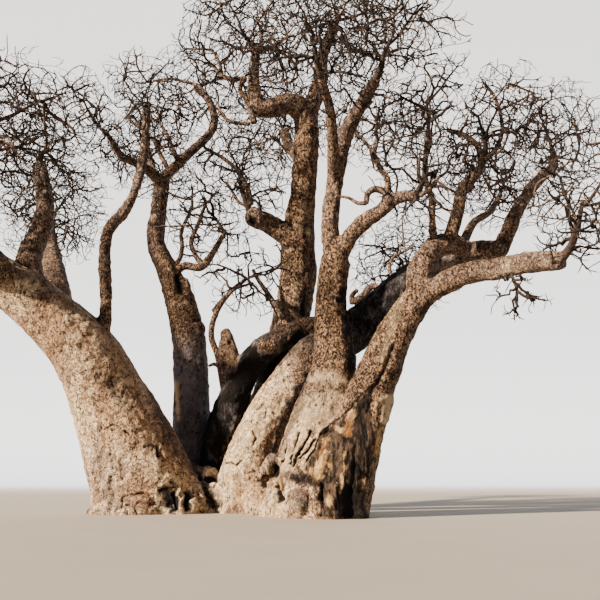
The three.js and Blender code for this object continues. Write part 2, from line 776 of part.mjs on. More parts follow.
// The whole tree: the trunk first, then stems, boughs and masses, each cut clear of what it meets.
function buildTree() {
  const tree = new THREE.Group();
  const cutters = new Map([["trunk", trunkSolid(JOINT_GAP)]]);
  tree.add(meshOf("trunk", trunkSolid().subtract(groundSolid()), PALE_BARK));
  for (const stem of STEMS) {
    const solid = clearOf(limbSolid(stem, stem.trunkShare, 1), [...cutters.values()]);
    cutters.set(stem.name, limbSolid(stem, stem.trunkShare, 1, JOINT_GAP));
    tree.add(meshOf(stem.name, solid, stem.look));
  }
  for (const bough of BOUGHS) {
    const solid = clearOf(limbSolid(bough), [...cutters.values()]);
    cutters.set(bough.name, limbSolid(bough, 0, 1, JOINT_GAP));
    tree.add(meshOf(bough.name, solid, BROWN_BARK));
  }
  const beads = [...STEMS, ...BOUGHS].flatMap(limbBeads);
  for (const mass of MASSES) {
    const boughName = mass.from ?? mass.name.replace("twigs", "bough");
    const bough = BOUGHS.find(({ name }) => name === boughName);
    const solid = clearOf(massSolid(mass, bough, beads), [cutters.get(boughName)]);
    tree.add(meshOf(mass.name, solid, TWIG_BARK));
  }
  return tree;
}

export default buildTree();
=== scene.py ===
"""Dresses a leafless baobab tree.

One bark surface with relief stands for the trunk, the stems and the boughs, and fine bare twigs grow
on from the boughs' tips. Lengths are in metres, +Z is up and the ground is z = 0.
"""

from __future__ import annotations

import logging
import math
from dataclasses import dataclass, field
from enum import Enum
from typing import Callable, Iterable, Optional, Sequence

import bmesh
import bpy
import numpy as np
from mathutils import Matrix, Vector
from mathutils.kdtree import KDTree

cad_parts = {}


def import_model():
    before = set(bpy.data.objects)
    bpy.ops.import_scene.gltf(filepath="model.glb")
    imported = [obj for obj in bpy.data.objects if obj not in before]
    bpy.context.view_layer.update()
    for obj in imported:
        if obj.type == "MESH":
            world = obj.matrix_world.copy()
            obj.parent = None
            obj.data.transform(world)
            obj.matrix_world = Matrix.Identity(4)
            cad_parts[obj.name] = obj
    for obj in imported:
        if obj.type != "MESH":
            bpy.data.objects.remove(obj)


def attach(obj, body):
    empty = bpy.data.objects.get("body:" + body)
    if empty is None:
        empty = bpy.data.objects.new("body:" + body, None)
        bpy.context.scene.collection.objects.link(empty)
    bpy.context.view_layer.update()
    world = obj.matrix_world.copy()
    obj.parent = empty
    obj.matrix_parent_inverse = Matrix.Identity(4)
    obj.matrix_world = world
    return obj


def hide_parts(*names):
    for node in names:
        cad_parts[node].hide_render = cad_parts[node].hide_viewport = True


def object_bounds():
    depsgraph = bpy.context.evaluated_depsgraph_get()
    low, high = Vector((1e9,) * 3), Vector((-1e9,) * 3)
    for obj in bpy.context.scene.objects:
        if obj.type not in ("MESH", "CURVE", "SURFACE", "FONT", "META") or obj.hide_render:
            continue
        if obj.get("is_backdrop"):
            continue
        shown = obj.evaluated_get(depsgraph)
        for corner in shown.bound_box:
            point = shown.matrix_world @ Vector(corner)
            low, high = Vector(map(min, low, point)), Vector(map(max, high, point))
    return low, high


LOG = logging.getLogger("baobab")
BODY = "root"
UP = np.array([0.0, 0.0, 1.0])
GOLDEN_TURN = math.pi * (3 - math.sqrt(5))
# How far noises with different seeds are moved apart, and the rises of a domed end's rings
SEED_SHIFT = 7.3
DOME_ANGLES = (25, 50, 72)
Array = np.ndarray
# The points of a closed body, and its faces in arrays of rows of like length
Body = tuple[Array, list[Array]]


class Slot(Enum):
    """The material slots of the record."""

    PALE = "bark_pale"
    GREY = "bark_grey"
    BROWN = "bark_brown"
    TWIG = "twig_bark"


class Stand(Enum):
    """The groups of limbs that each become one piece of bark and one piece of crown."""

    TRUNK = "trunk"
    LEFT = "left"
    SLENDER = "slender"
    ARCHING = "arching"
    TALL = "tall"
    CROSSING = "crossing"
    CENTRE = "centre"
    RIGHT = "right"


@dataclass(frozen=True)
class Member:
    """What belongs to a stand, which is the second word of its name."""

    name: str

    @property
    def stand(self) -> Stand:
        """The stand."""
        return Stand(self.name.split("_")[1])


@dataclass(frozen=True)
class Limb(Member):
    """A stem or a bough: its way as (x, y, z, radius) from its foot to its tip."""

    way: tuple[tuple[float, float, float, float], ...]


@dataclass(frozen=True)
class Mass(Member):
    """A mass of twigs that keeps to an ellipsoid and grows from a bough's tip, or from a share of its way."""

    centre: tuple[float, float, float]
    reach: tuple[float, float, float]
    bough: str = ""
    share: float = 0.0

    @property
    def from_bough(self) -> str:
        """The name of the bough that the mass grows from."""
        return self.bough or self.name.replace("twigs", "bough")


LIMBS = (
    Limb("stem_left", (
        (-3.7, 0.8, -0.7, 2.15), (-3.8, 0.7, 0.3, 2.17), (-4.4, 0.4, 2.2, 1.92), (-5.5, 0, 4.6, 1.52),
        (-6.5, -0.5, 6.4, 1.27), (-7.8, -0.9, 7.7, 1.11), (-9.3, -1.3, 8.9, 0.96))),
    Limb("stem_slender", (
        (-2.4, 2.7, -0.7, 0.98), (-2.3, 2.7, 2.3, 0.84), (-2.5, 2.8, 4.7, 0.79), (-2.7, 2.9, 7.3, 0.76),
        (-3.2, 2.9, 9.3, 0.7), (-3.9, 2.9, 10.9, 0.5), (-4.5, 3, 12.2, 0.41), (-4.5, 3.1, 13.7, 0.39),
        (-4.4, 3.1, 15.6, 0.37))),
    Limb("stem_arching", (
        (-1.1, 2.6, -0.7, 1.12), (-1.1, 2.3, 1.6, 1), (-0.7, 1.8, 4, 0.74), (-0.2, 1.6, 5.3, 0.64),
        (0.4, 1.3, 6.3, 0.58), (1.4, 1.1, 7.1, 0.52), (2.9, 1.3, 7.8, 0.46))),
    Limb("stem_tall", (
        (0.1, 2.7, -0.7, 1.35), (0.6, 2.6, 3, 0.96), (1.3, 2.6, 5.6, 0.82), (1.9, 2.8, 8, 0.84),
        (2.3, 2.9, 10.4, 0.86), (2.3, 2.8, 12.3, 0.78), (2.5, 2.5, 14.3, 0.6), (2.7, 2, 16.6, 0.58),
        (2.7, 1.6, 18.2, 0.53))),
    Limb("stem_crossing", (
        (0.1, 0.7, -0.7, 1.36), (0.3, 0.4, 1.2, 1.2), (1, 0, 3.4, 0.97), (1.8, -0.2, 4.7, 0.9),
        (2.8, -0.2, 6, 0.87), (4.6, -0.4, 7.2, 0.83))),
    Limb("stem_centre", (
        (2.7, -2.1, -0.7, 1.72), (2.85, -2.1, 1, 1.58), (3.2, -2, 3.2, 1.24), (3.7, -2, 5.4, 0.86),
        (3.6, -2, 7.9, 0.61), (3.8, -2, 9.8, 0.56))),
    Limb("stem_right", (
        (3.4, -3.1, -0.7, 1.18), (3.9, -3.05, 1.2, 1.15), (4.5, -3, 3.1, 0.97), (5, -3.1, 4.4, 0.81),
        (5.7, -3.2, 6, 0.71), (6.3, -3.2, 7.1, 0.62), (6.9, -3.2, 8, 0.55))),
    Limb("bough_left_outer", (
        (-9.3, -1.3, 8.9, 0.9), (-10.9, -1.7, 10, 0.73), (-12.3, -2, 11.2, 0.53), (-13.2, -2.4, 12, 0.36))),
    Limb("bough_left_upper", (
        (-8.4, -1.1, 8.3, 0.61), (-9.1, -0.5, 10.2, 0.51), (-8.9, 0.2, 12.6, 0.4), (-9.5, 0.6, 15.2, 0.3))),
    Limb("bough_left_rear", (
        (-7.5, -0.6, 7.4, 0.7), (-8.6, 1.6, 9.4, 0.62), (-9.9, 4.2, 11.8, 0.49), (-10.8, 5.8, 13.8, 0.33))),
    Limb("bough_left_front", (
        (-8.9, -1.2, 8.6, 0.6), (-9.8, -3.2, 9.8, 0.49), (-9.4, -5, 11.1, 0.34), (-8.4, -6.2, 12, 0.22))),
    Limb("bough_left_riser", (
        (-5.8, -0.4, 5.8, 0.33), (-5.7, -0.5, 8, 0.25), (-5.9, -0.3, 11.6, 0.24), (-5.2, -0.1, 12.8, 0.22),
        (-4.7, 0.2, 15, 0.2), (-4.7, 0.4, 18, 0.16))),
    Limb("bough_slender_right", (
        (-4.4, 3.1, 15.6, 0.27), (-3.3, 3.3, 16.9, 0.24), (-2, 3.4, 18.6, 0.2), (-2.3, 3.4, 20.1, 0.18),
        (-3, 3.4, 20.8, 0.15))),
    Limb("bough_slender_left", (
        (-4.4, 3.1, 15.4, 0.27), (-5.1, 2.5, 15.9, 0.22), (-6.1, 1.7, 16.2, 0.18), (-6.4, 1, 16.6, 0.14))),
    Limb("bough_slender_rear", (
        (-4.4, 3.1, 15, 0.28), (-5.1, 4.9, 16.4, 0.22), (-5.9, 6.9, 18.2, 0.17))),
    Limb("bough_slender_side", (
        (-3.7, 2.9, 10.5, 0.24), (-3.1, 2.7, 11, 0.19), (-2.2, 2.5, 10.9, 0.17), (-1.6, 2.2, 11.6, 0.14),
        (-1.1, 1.9, 12.4, 0.11))),
    Limb("bough_arching_riser", (
        (-0.8, 1.7, 4.9, 0.22), (-1.2, 1.4, 6.5, 0.14), (-1.5, 1.3, 7.4, 0.13), (-1.3, 1.2, 8.4, 0.12),
        (-0.7, 1.1, 9.3, 0.1), (-0.1, 1, 9.8, 0.09))),
    Limb("bough_arching_stub", (
        (-0.4, 1.5, 5.7, 0.32), (-0.6, 1.4, 6.7, 0.28), (-0.9, 1.4, 7.6, 0.25))),
    Limb("bough_arching_reach", (
        (2.9, 1.3, 7.8, 0.45), (4.7, 2.4, 8.2, 0.43), (6.6, 4.2, 9.4, 0.38), (8, 5.8, 10.7, 0.29))),
    Limb("bough_tall_side", (
        (2.2, 2.8, 12.2, 0.5), (1.1, 2.4, 12.9, 0.47), (0.1, 2, 13.3, 0.44))),
    Limb("bough_tall_top", (
        (2.7, 1.6, 18.2, 0.48), (1.9, 1.2, 18.6, 0.48), (0.5, 1, 18.3, 0.43), (0.2, 0.7, 19.6, 0.28),
        (0.3, 0.5, 21.1, 0.21))),
    Limb("bough_tall_right", (
        (2.7, 1.7, 18, 0.45), (3.3, 1.3, 19.7, 0.36), (3.5, 1, 21.2, 0.29), (4.1, 0.8, 22.6, 0.22))),
    Limb("bough_tall_rear", (
        (2.5, 2.3, 15.4, 0.48), (2.4, 4.5, 17.4, 0.4), (1.8, 6.6, 19.2, 0.31), (1.5, 7.9, 20.6, 0.24))),
    Limb("bough_crossing_reach", (
        (4.6, -0.4, 7.2, 0.83), (5.5, -0.7, 7.9, 0.78), (6.4, -0.8, 8.8, 0.71), (7.8, -0.8, 9.9, 0.54),
        (9.5, -1, 10.5, 0.42), (10.7, -1.3, 10.5, 0.35))),
    Limb("bough_crossing_rise", (
        (10.7, -1.3, 10.5, 0.34), (11.6, -1, 12.3, 0.28), (12.6, -0.6, 13.7, 0.22),
        (13.7, -0.3, 14.8, 0.18))),
    Limb("bough_centre_left", (
        (3.8, -2, 9.7, 0.4), (3.6, -2, 11.1, 0.37), (3.8, -2.1, 12.9, 0.34), (4.1, -2.6, 14.4, 0.31),
        (4.5, -3.1, 15.4, 0.28), (5.4, -4, 16.7, 0.22))),
    Limb("bough_centre_right", (
        (3.8, -2, 9.5, 0.36), (4.4, -2.3, 10.7, 0.32), (5, -2.8, 11.2, 0.3), (5.6, -3.5, 11.4, 0.25),
        (6.1, -4.2, 11.6, 0.23), (6.7, -4.9, 11.4, 0.18))),
    Limb("bough_centre_spur", (
        (5.6, -3.5, 11.4, 0.15), (5.9, -3, 12.8, 0.13), (5.7, -2.6, 13.5, 0.12), (5.5, -2, 14.4, 0.11),
        (5.7, -1.5, 15.4, 0.1))),
    Limb("bough_centre_front", (
        (3.8, -2.2, 13.1, 0.26), (3.6, -4.3, 15, 0.19), (3.2, -5.7, 15.7, 0.15))),
    Limb("bough_right_level", (
        (6.7, -3.2, 7.8, 0.48), (7.8, -3.7, 8.4, 0.43), (8.6, -4.3, 8.6, 0.41), (9.4, -4.9, 8.6, 0.37),
        (10.2, -5.6, 8.6, 0.35), (11.1, -6.5, 8.4, 0.32))),
    Limb("bough_right_bend", (
        (6.9, -3.2, 8, 0.52), (7.1, -2.9, 9.2, 0.49), (7.7, -2.6, 10.1, 0.46), (8.4, -2.4, 10.4, 0.42),
        (9, -2.3, 10.2, 0.36))),
    Limb("bough_right_riser", (
        (8.3, -2.4, 10.4, 0.28), (8.7, -2.8, 11.7, 0.24), (8.8, -3.1, 12.3, 0.22), (9.4, -3.7, 13, 0.18))),
    Limb("bough_right_thin", (
        (7.7, -2.7, 10.1, 0.17), (7.6, -2.9, 11.2, 0.14), (7.6, -3.1, 12, 0.13), (7.3, -3.5, 12.7, 0.12),
        (7.4, -4, 14.5, 0.1))),
    Limb("bough_right_fork", (
        (8.8, -2.3, 10.2, 0.2), (9.6, -1.5, 11.6, 0.16), (10.6, -0.4, 12.5, 0.14), (11.5, 0.8, 13.8, 0.12))),
)

# Swellings of the root collar and of broken stubs, as x, y, z and the reach along each
SWELLINGS = (
    (-1.6, 1, 0.3, 1.5, 1.5, 1.5),
    (-0.2, 1.9, 0.2, 2.6, 1.9, 1.7),
    (1.4, -1, 0.2, 1.2, 1.2, 1.6),
    (-2.4, -0.5, 0, 0.9, 0.8, 0.7),
    (-4.4, -1.2, 0, 1.3, 0.6, 0.6),
    (-5.2, 1.9, 0, 1.2, 1, 0.8),
    (2.4, -3.3, 0.2, 0.7, 0.6, 0.9),
    (3.5, -3.9, 0.1, 0.6, 0.5, 0.9),
    (-2.5, 3.3, 0, 1.3, 1, 0.8),
    (0.3, 3.5, 0, 1.5, 1, 0.9),
    (3.9, -0.9, 0, 1, 1.1, 1),
    (-0.75, 1.45, 6.0, 0.42, 0.4, 0.75),
    (-0.84, 1.4, 6.75, 0.33, 0.32, 0.85),
    (1.38, -2.45, 1.96, 0.24, 0.3, 0.3),
    (1.2, -2.3, 1.7, 0.23, 0.32, 0.28),
    (1.03, -2.15, 1.47, 0.2, 0.3, 0.22),
)

MASSES = (
    Mass("twigs_left_outer", (-12.8, -2.6, 13.2), (3.3, 3.6, 3.1)),
    Mass("twigs_left_upper", (-9.3, 0.8, 16.4), (3.3, 3.4, 3.1)),
    Mass("twigs_left_rear", (-11, 6.7, 15.2), (3.5, 3.5, 3)),
    Mass("twigs_left_front", (-8.2, -6.9, 13.6), (3.4, 3.1, 2.8)),
    Mass("twigs_left_riser", (-4.9, 0.2, 18), (2.8, 3, 2.5)),
    Mass("twigs_slender_left", (-7, 0.3, 17.2), (2.8, 2.8, 2.7)),
    Mass("twigs_slender_right", (-2.6, 3.4, 20.9), (3, 3, 2.5)),
    Mass("twigs_slender_rear", (-6.1, 7.8, 19.3), (3.4, 3.2, 2.8)),
    Mass("twigs_slender_side", (-1.9, 1.9, 13.4), (2.7, 2.9, 2.6)),
    Mass("twigs_arching_riser", (0.2, 0.7, 9.9), (2.6, 2.5, 2.3)),
    Mass("twigs_arching_reach", (8, 6.9, 12.3), (3.3, 3.4, 3)),
    Mass("twigs_tall_side", (-0.4, 1.9, 15.4), (2.9, 3, 3.1)),
    Mass("twigs_tall_top", (-0.1, 0.4, 21.6), (3.7, 3.5, 3.4)),
    Mass("twigs_tall_right", (4.2, 0.7, 22.9), (3.6, 3.5, 2.6)),
    Mass("twigs_tall_rear", (1.3, 8.6, 21.5), (3.9, 3.2, 3.2)),
    Mass("twigs_centre_left", (5.9, -4.9, 17.8), (3.2, 3.2, 2.9)),
    Mass("twigs_centre_front", (2.9, -6.5, 16.8), (2.8, 3, 2.6)),
    Mass("twigs_centre_spur", (5.7, -0.8, 16.9), (2.8, 2.8, 2.4)),
    Mass("twigs_centre_right", (6.9, -5.7, 12.2), (2.5, 2.8, 2.6)),
    Mass("twigs_right_riser", (9.6, -4.4, 14.3), (3, 3.1, 2.7)),
    Mass("twigs_right_thin", (7.4, -4.4, 15.7), (2.4, 2.6, 2.3)),
    Mass("twigs_right_fork", (12, 2, 15), (2.8, 3.2, 2.6)),
    Mass("twigs_crossing_rise", (13.7, 0.1, 16.2), (2.9, 3.2, 2.8)),
    Mass("twigs_right_level", (11.9, -6.9, 10.4), (2.3, 2.6, 2.7)),
    Mass("twigs_right_low", (9.9, -5.4, 7.4), (1.3, 1.3, 0.9), "bough_right_level", 0.72),
)


def gradient_noise(points: Array, seed: int) -> Array:
    """Smooth noise that a seed fixes.

    Args:
        points: Places to read the noise at, one row each, one cell of noise per unit.
        seed: Which noise to read.

    Returns:
        One value per place, about -1 to 1.
    """
    cell = np.floor(points).astype(np.int64)
    local = points - cell
    fade = local * local * local * (local * (local * 6 - 15) + 10)
    total = np.zeros(len(points))
    for corner in range(8):
        offset = np.array([corner & 1, corner >> 1 & 1, corner >> 2 & 1])
        at = cell + offset
        key = at[:, 0] * 73856093 ^ at[:, 1] * 19349663 ^ at[:, 2] * 83492791 ^ seed * 26544357
        key = (key ^ key >> 13) * 1274126177 & 0x7FFFFFFFFFFF
        key = key ^ key >> 17
        slope = np.stack([key & 1023, key >> 10 & 1023, key >> 20 & 1023], axis=1) / 511.5 - 1
        weight = np.prod(np.where(offset == 1, fade, 1 - fade), axis=1)
        total += weight * np.einsum("ij,ij->i", slope, local - offset)
    return total * 1.3


def layered_noise(points: Array, seed: int, layers: int) -> Array:
    """Noise with finer layers of half the size and half the strength added to it."""
    return sum(gradient_noise(points * 2**layer, seed + layer) / 2**layer for layer in range(layers))


def smooth_step(low: float, high: float, value: Array) -> Array:
    """A soft step from 0 at low to 1 at high."""
    share = np.clip((value - low) / (high - low), 0, 1)
    return share * share * (3 - 2 * share)


def placed(name: str, data: Optional[bpy.types.ID]) -> bpy.types.Object:
    """A new object in the scene that shows a mesh, a light or a camera."""
    made = bpy.data.objects.new(name, data)
    bpy.context.scene.collection.objects.link(made)
    return made


def column(items: bpy.types.bpy_prop_collection, name: str, width: int = 1) -> Array:
    """One property of all of a mesh's parts, as numbers.

    Args:
        items: The parts.
        name: The property.
        width: How many numbers it has.

    Returns:
        One row per part, or one number per part if the width is 1.
    """
    values = np.empty(len(items) * width, np.int32 if name == "vertices" else np.float32)
    items.foreach_get(name, values)
    return values.reshape(-1, width) if width > 1 else values


def unit(vectors: Array) -> Array:
    """The vectors at length one, along the last axis."""
    return vectors / np.maximum(np.linalg.norm(vectors, axis=-1, keepdims=True), 1e-9)


@dataclass
class Curve:
    """A centripetal Catmull-Rom curve through points."""

    points: Array

    def at(self, shares: Array) -> Array:
        """The curve's points.

        Args:
            shares: Shares of the way, 0 to 1, with each span counted alike.

        Returns:
            One row per share.
        """
        own = self.points
        points = np.vstack([2 * own[0] - own[1], own, 2 * own[-1] - own[-2]])
        place = np.clip(shares, 0, 1) * (len(own) - 1)
        low = np.minimum(place.astype(int), len(own) - 2)
        share = (place - low)[:, None]
        before, start, end, after = (points[low + step] for step in range(4))
        spans = ((before, start), (start, end), (end, after))
        steps = [np.sqrt(np.linalg.norm(stop - begin, axis=1))[:, None] for begin, stop in spans]
        first, middle, last = (np.maximum(step, 1e-4) for step in steps)
        leave = (start - before) / first - (end - before) / (first + middle) + (end - start) / middle
        arrive = (end - start) / middle - (after - start) / (middle + last) + (after - end) / last
        leave, arrive = leave * middle, arrive * middle
        square = -3 * start + 3 * end - 2 * leave - arrive
        cube = 2 * start - 2 * end + leave + arrive
        return start + leave * share + square * share**2 + cube * share**3

    def tangents(self, shares: Array) -> Array:
        """The curve's directions at shares of its way."""
        return unit(self.at(np.minimum(shares + 1e-4, 1)) - self.at(np.maximum(shares - 1e-4, 0)))


@dataclass
class Sweep:
    """A limb's way, read at even steps, with a frame that doesn't twist."""

    limb: Limb
    step: float

    def __post_init__(self) -> None:
        """Reads the way, its radii, its lengths and its frames."""
        way = np.array(self.limb.way, float)
        curve = Curve(way[:, :3])
        spans = len(way) - 1
        coarse = np.linspace(0, 1, spans * 12 + 1)
        lengths = np.concatenate([[0], np.cumsum(np.linalg.norm(np.diff(curve.at(coarse), axis=0), axis=1))])
        count = max(4, round(lengths[-1] / self.step) + 1)
        self.lengths = np.linspace(0, lengths[-1], count)
        self.shares = np.interp(self.lengths, lengths, coarse)
        self.points = curve.at(self.shares)
        self.tangents = curve.tangents(self.shares)
        self.radii = np.interp(self.shares * spans, np.arange(spans + 1), way[:, 3])
        side = np.cross(self.tangents[0], UP if abs(self.tangents[0, 2]) < 0.8 else np.array([1.0, 0, 0]))
        self.sides = np.empty_like(self.tangents)
        for index, tangent in enumerate(self.tangents):
            side = unit(side - tangent * np.dot(side, tangent))
            self.sides[index] = side
        self.crosses = np.cross(self.tangents, self.sides)


@dataclass
class Soup:
    """Points and faces gathered from many closed bodies."""

    points: list[Array] = field(default_factory=list)
    faces: list[Array] = field(default_factory=list)
    slots: list[Array] = field(default_factory=list)
    count: int = 0

    def add(self, points: Array, faces: Iterable[Array], slot: int = 0) -> None:
        """Adds one body.

        Args:
            points: Its points, one row each.
            faces: Its faces in arrays of rows of like length, numbered within the body.
            slot: The material slot of its faces.
        """
        for rows in faces:
            self.faces.append(rows + self.count)
            self.slots.append(np.full(len(rows), slot))
        self.points.append(points)
        self.count += len(points)

    def mesh(self, name: str) -> bpy.types.Mesh:
        """All bodies as one smooth mesh."""
        mesh = bpy.data.meshes.new(name)
        sizes = np.concatenate([np.full(len(rows), rows.shape[1]) for rows in self.faces])
        corners = np.concatenate([rows.ravel() for rows in self.faces])
        mesh.vertices.add(self.count)
        mesh.vertices.foreach_set("co", np.concatenate(self.points).astype(np.float32).ravel())
        mesh.loops.add(len(corners))
        mesh.loops.foreach_set("vertex_index", corners.astype(np.int32))
        mesh.polygons.add(len(sizes))
        mesh.polygons.foreach_set("loop_start", (np.cumsum(sizes) - sizes).astype(np.int32))
        mesh.polygons.foreach_set("material_index", np.concatenate(self.slots).astype(np.int32))
        mesh.polygons.foreach_set("use_smooth", np.ones(len(sizes), bool))
        mesh.update(calc_edges=True)
        return mesh


def ring_faces(rings: int, sides: int) -> list[Array]:
    """The faces of a closed tube of rings of points, with one point more at each end.

    Args:
        rings: How many rings there are.
        sides: How many points each ring has.

    Returns:
        The four-sided and the three-sided faces, as two arrays.
    """
    turn = np.arange(sides)
    following = (turn + 1) % sides
    band = np.arange(rings - 1)[:, None] * sides
    low, next_low = band + turn, band + following
    quads = np.stack([low, next_low, next_low + sides, low + sides], axis=-1).reshape(-1, 4)
    foot, top = rings * sides, (rings - 1) * sides
    foot_fan = np.stack([following, turn, np.full(sides, foot)], axis=1)
    tip_fan = np.stack([turn + top, following + top, np.full(sides, foot + 1)], axis=1)
    return [quads, np.vstack([foot_fan, tip_fan])]


@dataclass(frozen=True)
class Relief:
    """The lobes, folds and wrinkles that run along and around a limb, in metres and shares of its radius."""

    lobe_share: float = 0.06
    fold: float = 0.035
    wrinkle: float = 0.012
    seed: int = 0

    def read(self, sweep: Sweep, angles: Array) -> Array:
        """How far the bark stands out of the plain round limb.

        Args:
            sweep: The limb's way.
            angles: The angles of the points on each ring.

        Returns:
            One row per ring and one column per angle.
        """
        rings = len(sweep.points)
        around, radius = np.broadcast_arrays(angles, sweep.radii[:, None])
        along = np.broadcast_to(sweep.lengths[:, None], around.shape)
        cosine, sine = np.cos(around), np.sin(around)

        def read(size: float, stretch: float, seed: int) -> Array:
            """Noise wrapped round the limb."""
            axes = (cosine * radius / size, sine * radius / size, along / (size * stretch))
            places = np.stack(axes, axis=-1).reshape(-1, 3) + SEED_SHIFT * seed
            return gradient_noise(places, self.seed + seed).reshape(rings, -1)

        broad = np.stack([cosine * 1.2, sine * 1.2, along * 0.3], axis=-1).reshape(-1, 3)
        lobes = gradient_noise(broad + self.seed, self.seed).reshape(rings, -1)
        folds = read(0.55, 3.5, 1) + 0.5 * read(0.28, 3.0, 2)
        wrinkles = 1 - 2 * np.abs(read(1.1, 0.22, 3))
        strength = np.minimum(radius / 0.5, 1)
        return self.lobe_share * radius * lobes + strength * (self.fold * folds + self.wrinkle * wrinkles)


def limb_body(limb: Limb, step: float, sides: int, relief: Relief, dome: float) -> Body:
    """A limb as a closed tube with relief and domed ends.

    Args:
        limb: The limb.
        step: The distance between rings.
        sides: How many points each ring has.
        relief: What stands out of its surface.
        dome: The height of its end domes, as a share of the radius there.

    Returns:
        The points and the faces.
    """
    sweep = Sweep(limb, step)
    angles = np.linspace(0, 2 * math.pi, sides, endpoint=False)
    radii = sweep.radii[:, None] + relief.read(sweep, angles)
    cosines, sines = np.cos(angles)[:, None], np.sin(angles)[:, None]
    out = sweep.sides[:, None] * cosines + sweep.crosses[:, None] * sines
    rings = sweep.points[:, None] + out * radii[..., None]
    rises = np.radians(DOME_ANGLES)[:, None, None]
    ends = []
    for index, sign in ((0, -1), (-1, 1)):
        middle, tangent = sweep.points[index], sweep.tangents[index] * sign
        top = tangent * (dome * sweep.radii[index])
        ends.append((middle + (rings[index] - middle) * np.cos(rises) + top * np.sin(rises), middle + top))
    (foot_caps, foot), (tip_caps, tip) = ends
    stack = np.concatenate([foot_caps[::-1], rings, tip_caps])
    points = np.vstack([stack.reshape(-1, 3), foot, tip])
    return points, ring_faces(len(stack), sides)


def swelling_body(swelling: Sequence[float]) -> Body:
    """A stretched ball, given as x, y, z and its reach along each, as a closed body."""
    rings, sides = 16, 28
    rises = np.linspace(-math.pi / 2, math.pi / 2, rings + 2)[1:-1]
    turns = np.linspace(0, 2 * math.pi, sides, endpoint=False)
    flat = np.cos(rises)[:, None]
    ball = np.stack([flat * np.cos(turns), flat * np.sin(turns), np.sin(rises)[:, None] + 0 * turns], axis=-1)
    ball = np.vstack([ball.reshape(-1, 3), -UP, UP])
    return ball * np.array(swelling[3:]) + np.array(swelling[:3]), ring_faces(rings, sides)


@dataclass(frozen=True)
class PhotoView:
    """The place that the tree is seen from: a level camera, pitched up, for a square picture."""

    place: tuple[float, float, float] = (2.4, -28.9, 1.413)
    pitch: float = math.atan(176 / 700)
    focal_pixels: float = 700.0
    half_side: float = 300.0
    sensor: float = 36.0
    far_end: float = 400.0

    def project(self, points: Array) -> tuple[Array, Array]:
        """Where points show.

        Args:
            points: One row per point.

        Returns:
            The pixels, one row each, and how many pixels a metre takes at each point.
        """
        ray = points - np.array(self.place)
        ahead = ray[:, 1] * math.cos(self.pitch) + ray[:, 2] * math.sin(self.pitch)
        above = -ray[:, 1] * math.sin(self.pitch) + ray[:, 2] * math.cos(self.pitch)
        pixels_per_metre = self.focal_pixels / ahead
        across = self.half_side + ray[:, 0] * pixels_per_metre
        return np.stack([across, self.half_side - above * pixels_per_metre], axis=1), pixels_per_metre

    def place_of(self, pixel: tuple[float, float], depth: float) -> tuple[float, float, float]:
        """The point that shows at a pixel and lies at a given y."""
        across, above = pixel[0] - self.half_side, self.half_side - pixel[1]
        ahead = self.focal_pixels * math.cos(self.pitch) - above * math.sin(self.pitch)
        rise = self.focal_pixels * math.sin(self.pitch) + above * math.cos(self.pitch)
        reach = (depth - self.place[1]) / ahead
        return self.place[0] + across * reach, depth, self.place[2] + rise * reach

    def facing(
        self, points: Array, normals: Array, low: float = 0.0, high: float = 0.25
    ) -> Array:
        """How squarely the surface looks at this place, 0 at the low cosine and 1 from the high one on."""
        ray = unit(np.array(self.place) - points)
        return smooth_step(low, high, np.einsum("ij,ij->i", ray, normals))

    def add_camera(self) -> bpy.types.Object:
        """Adds the camera and makes it the scene's own."""
        data = bpy.data.cameras.new("camera")
        data.sensor_width = self.sensor
        data.lens = self.sensor * self.focal_pixels / (2 * self.half_side)
        data.clip_end = self.far_end
        camera = placed("camera", data)
        camera.location = self.place
        camera.rotation_euler = (math.pi / 2 + self.pitch, 0, 0)
        bpy.context.scene.camera = camera
        return camera


VIEW = PhotoView()


def line_distance(pixels: Array, line: Sequence[float]) -> Array:
    """How far pixels lie from a line of pixels, or from a single one.

    Args:
        pixels: One row per pixel.
        line: The line's points, x and y in turn.

    Returns:
        The distances.
    """
    corners = np.array(line, float).reshape(-1, 2)
    best = np.linalg.norm(pixels - corners[0], axis=1)
    for start, end in zip(corners, corners[1:]):
        way = end - start
        share = np.clip(((pixels - start) @ way) / (way @ way), 0, 1)
        best = np.minimum(best, np.linalg.norm(pixels - (start + share[:, None] * way), axis=1))
    return best


def inside(pixels: Array, outline: Sequence[float]) -> Array:
    """Whether pixels lie inside a closed outline.

    Args:
        pixels: One row per pixel.
        outline: The outline's corners, x and y in turn.

    Returns:
        One truth value per pixel.
    """
    corners = np.array(outline, float).reshape(-1, 2)
    found = np.zeros(len(pixels), bool)
    for (x0, y0), (x1, y1) in zip(corners, np.roll(corners, -1, axis=0)):
        crosses = (y0 > pixels[:, 1]) != (y1 > pixels[:, 1])
        with np.errstate(divide="ignore", invalid="ignore"):
            found ^= crosses & (pixels[:, 0] < (x1 - x0) * (pixels[:, 1] - y0) / (y1 - y0) + x0)
    return found


@dataclass(frozen=True)
class Mark:
    """A place on the bark, given by the photograph's pixels: a line, x and y in turn, or a single point.

    Its width and lift are metres, and a lift below zero sinks it. Its tints are shares from 0 to 1, and
    clear is the share of the dark and grey tints, painted shade among them, that it takes away.
    """

    line: tuple[float, ...]
    width: float
    lift: float = 0.0
    dark: float = 0.0
    ochre: float = 0.0
    pale: float = 0.0
    brown: float = 0.0
    grey: float = 0.0
    clear: float = 0.0


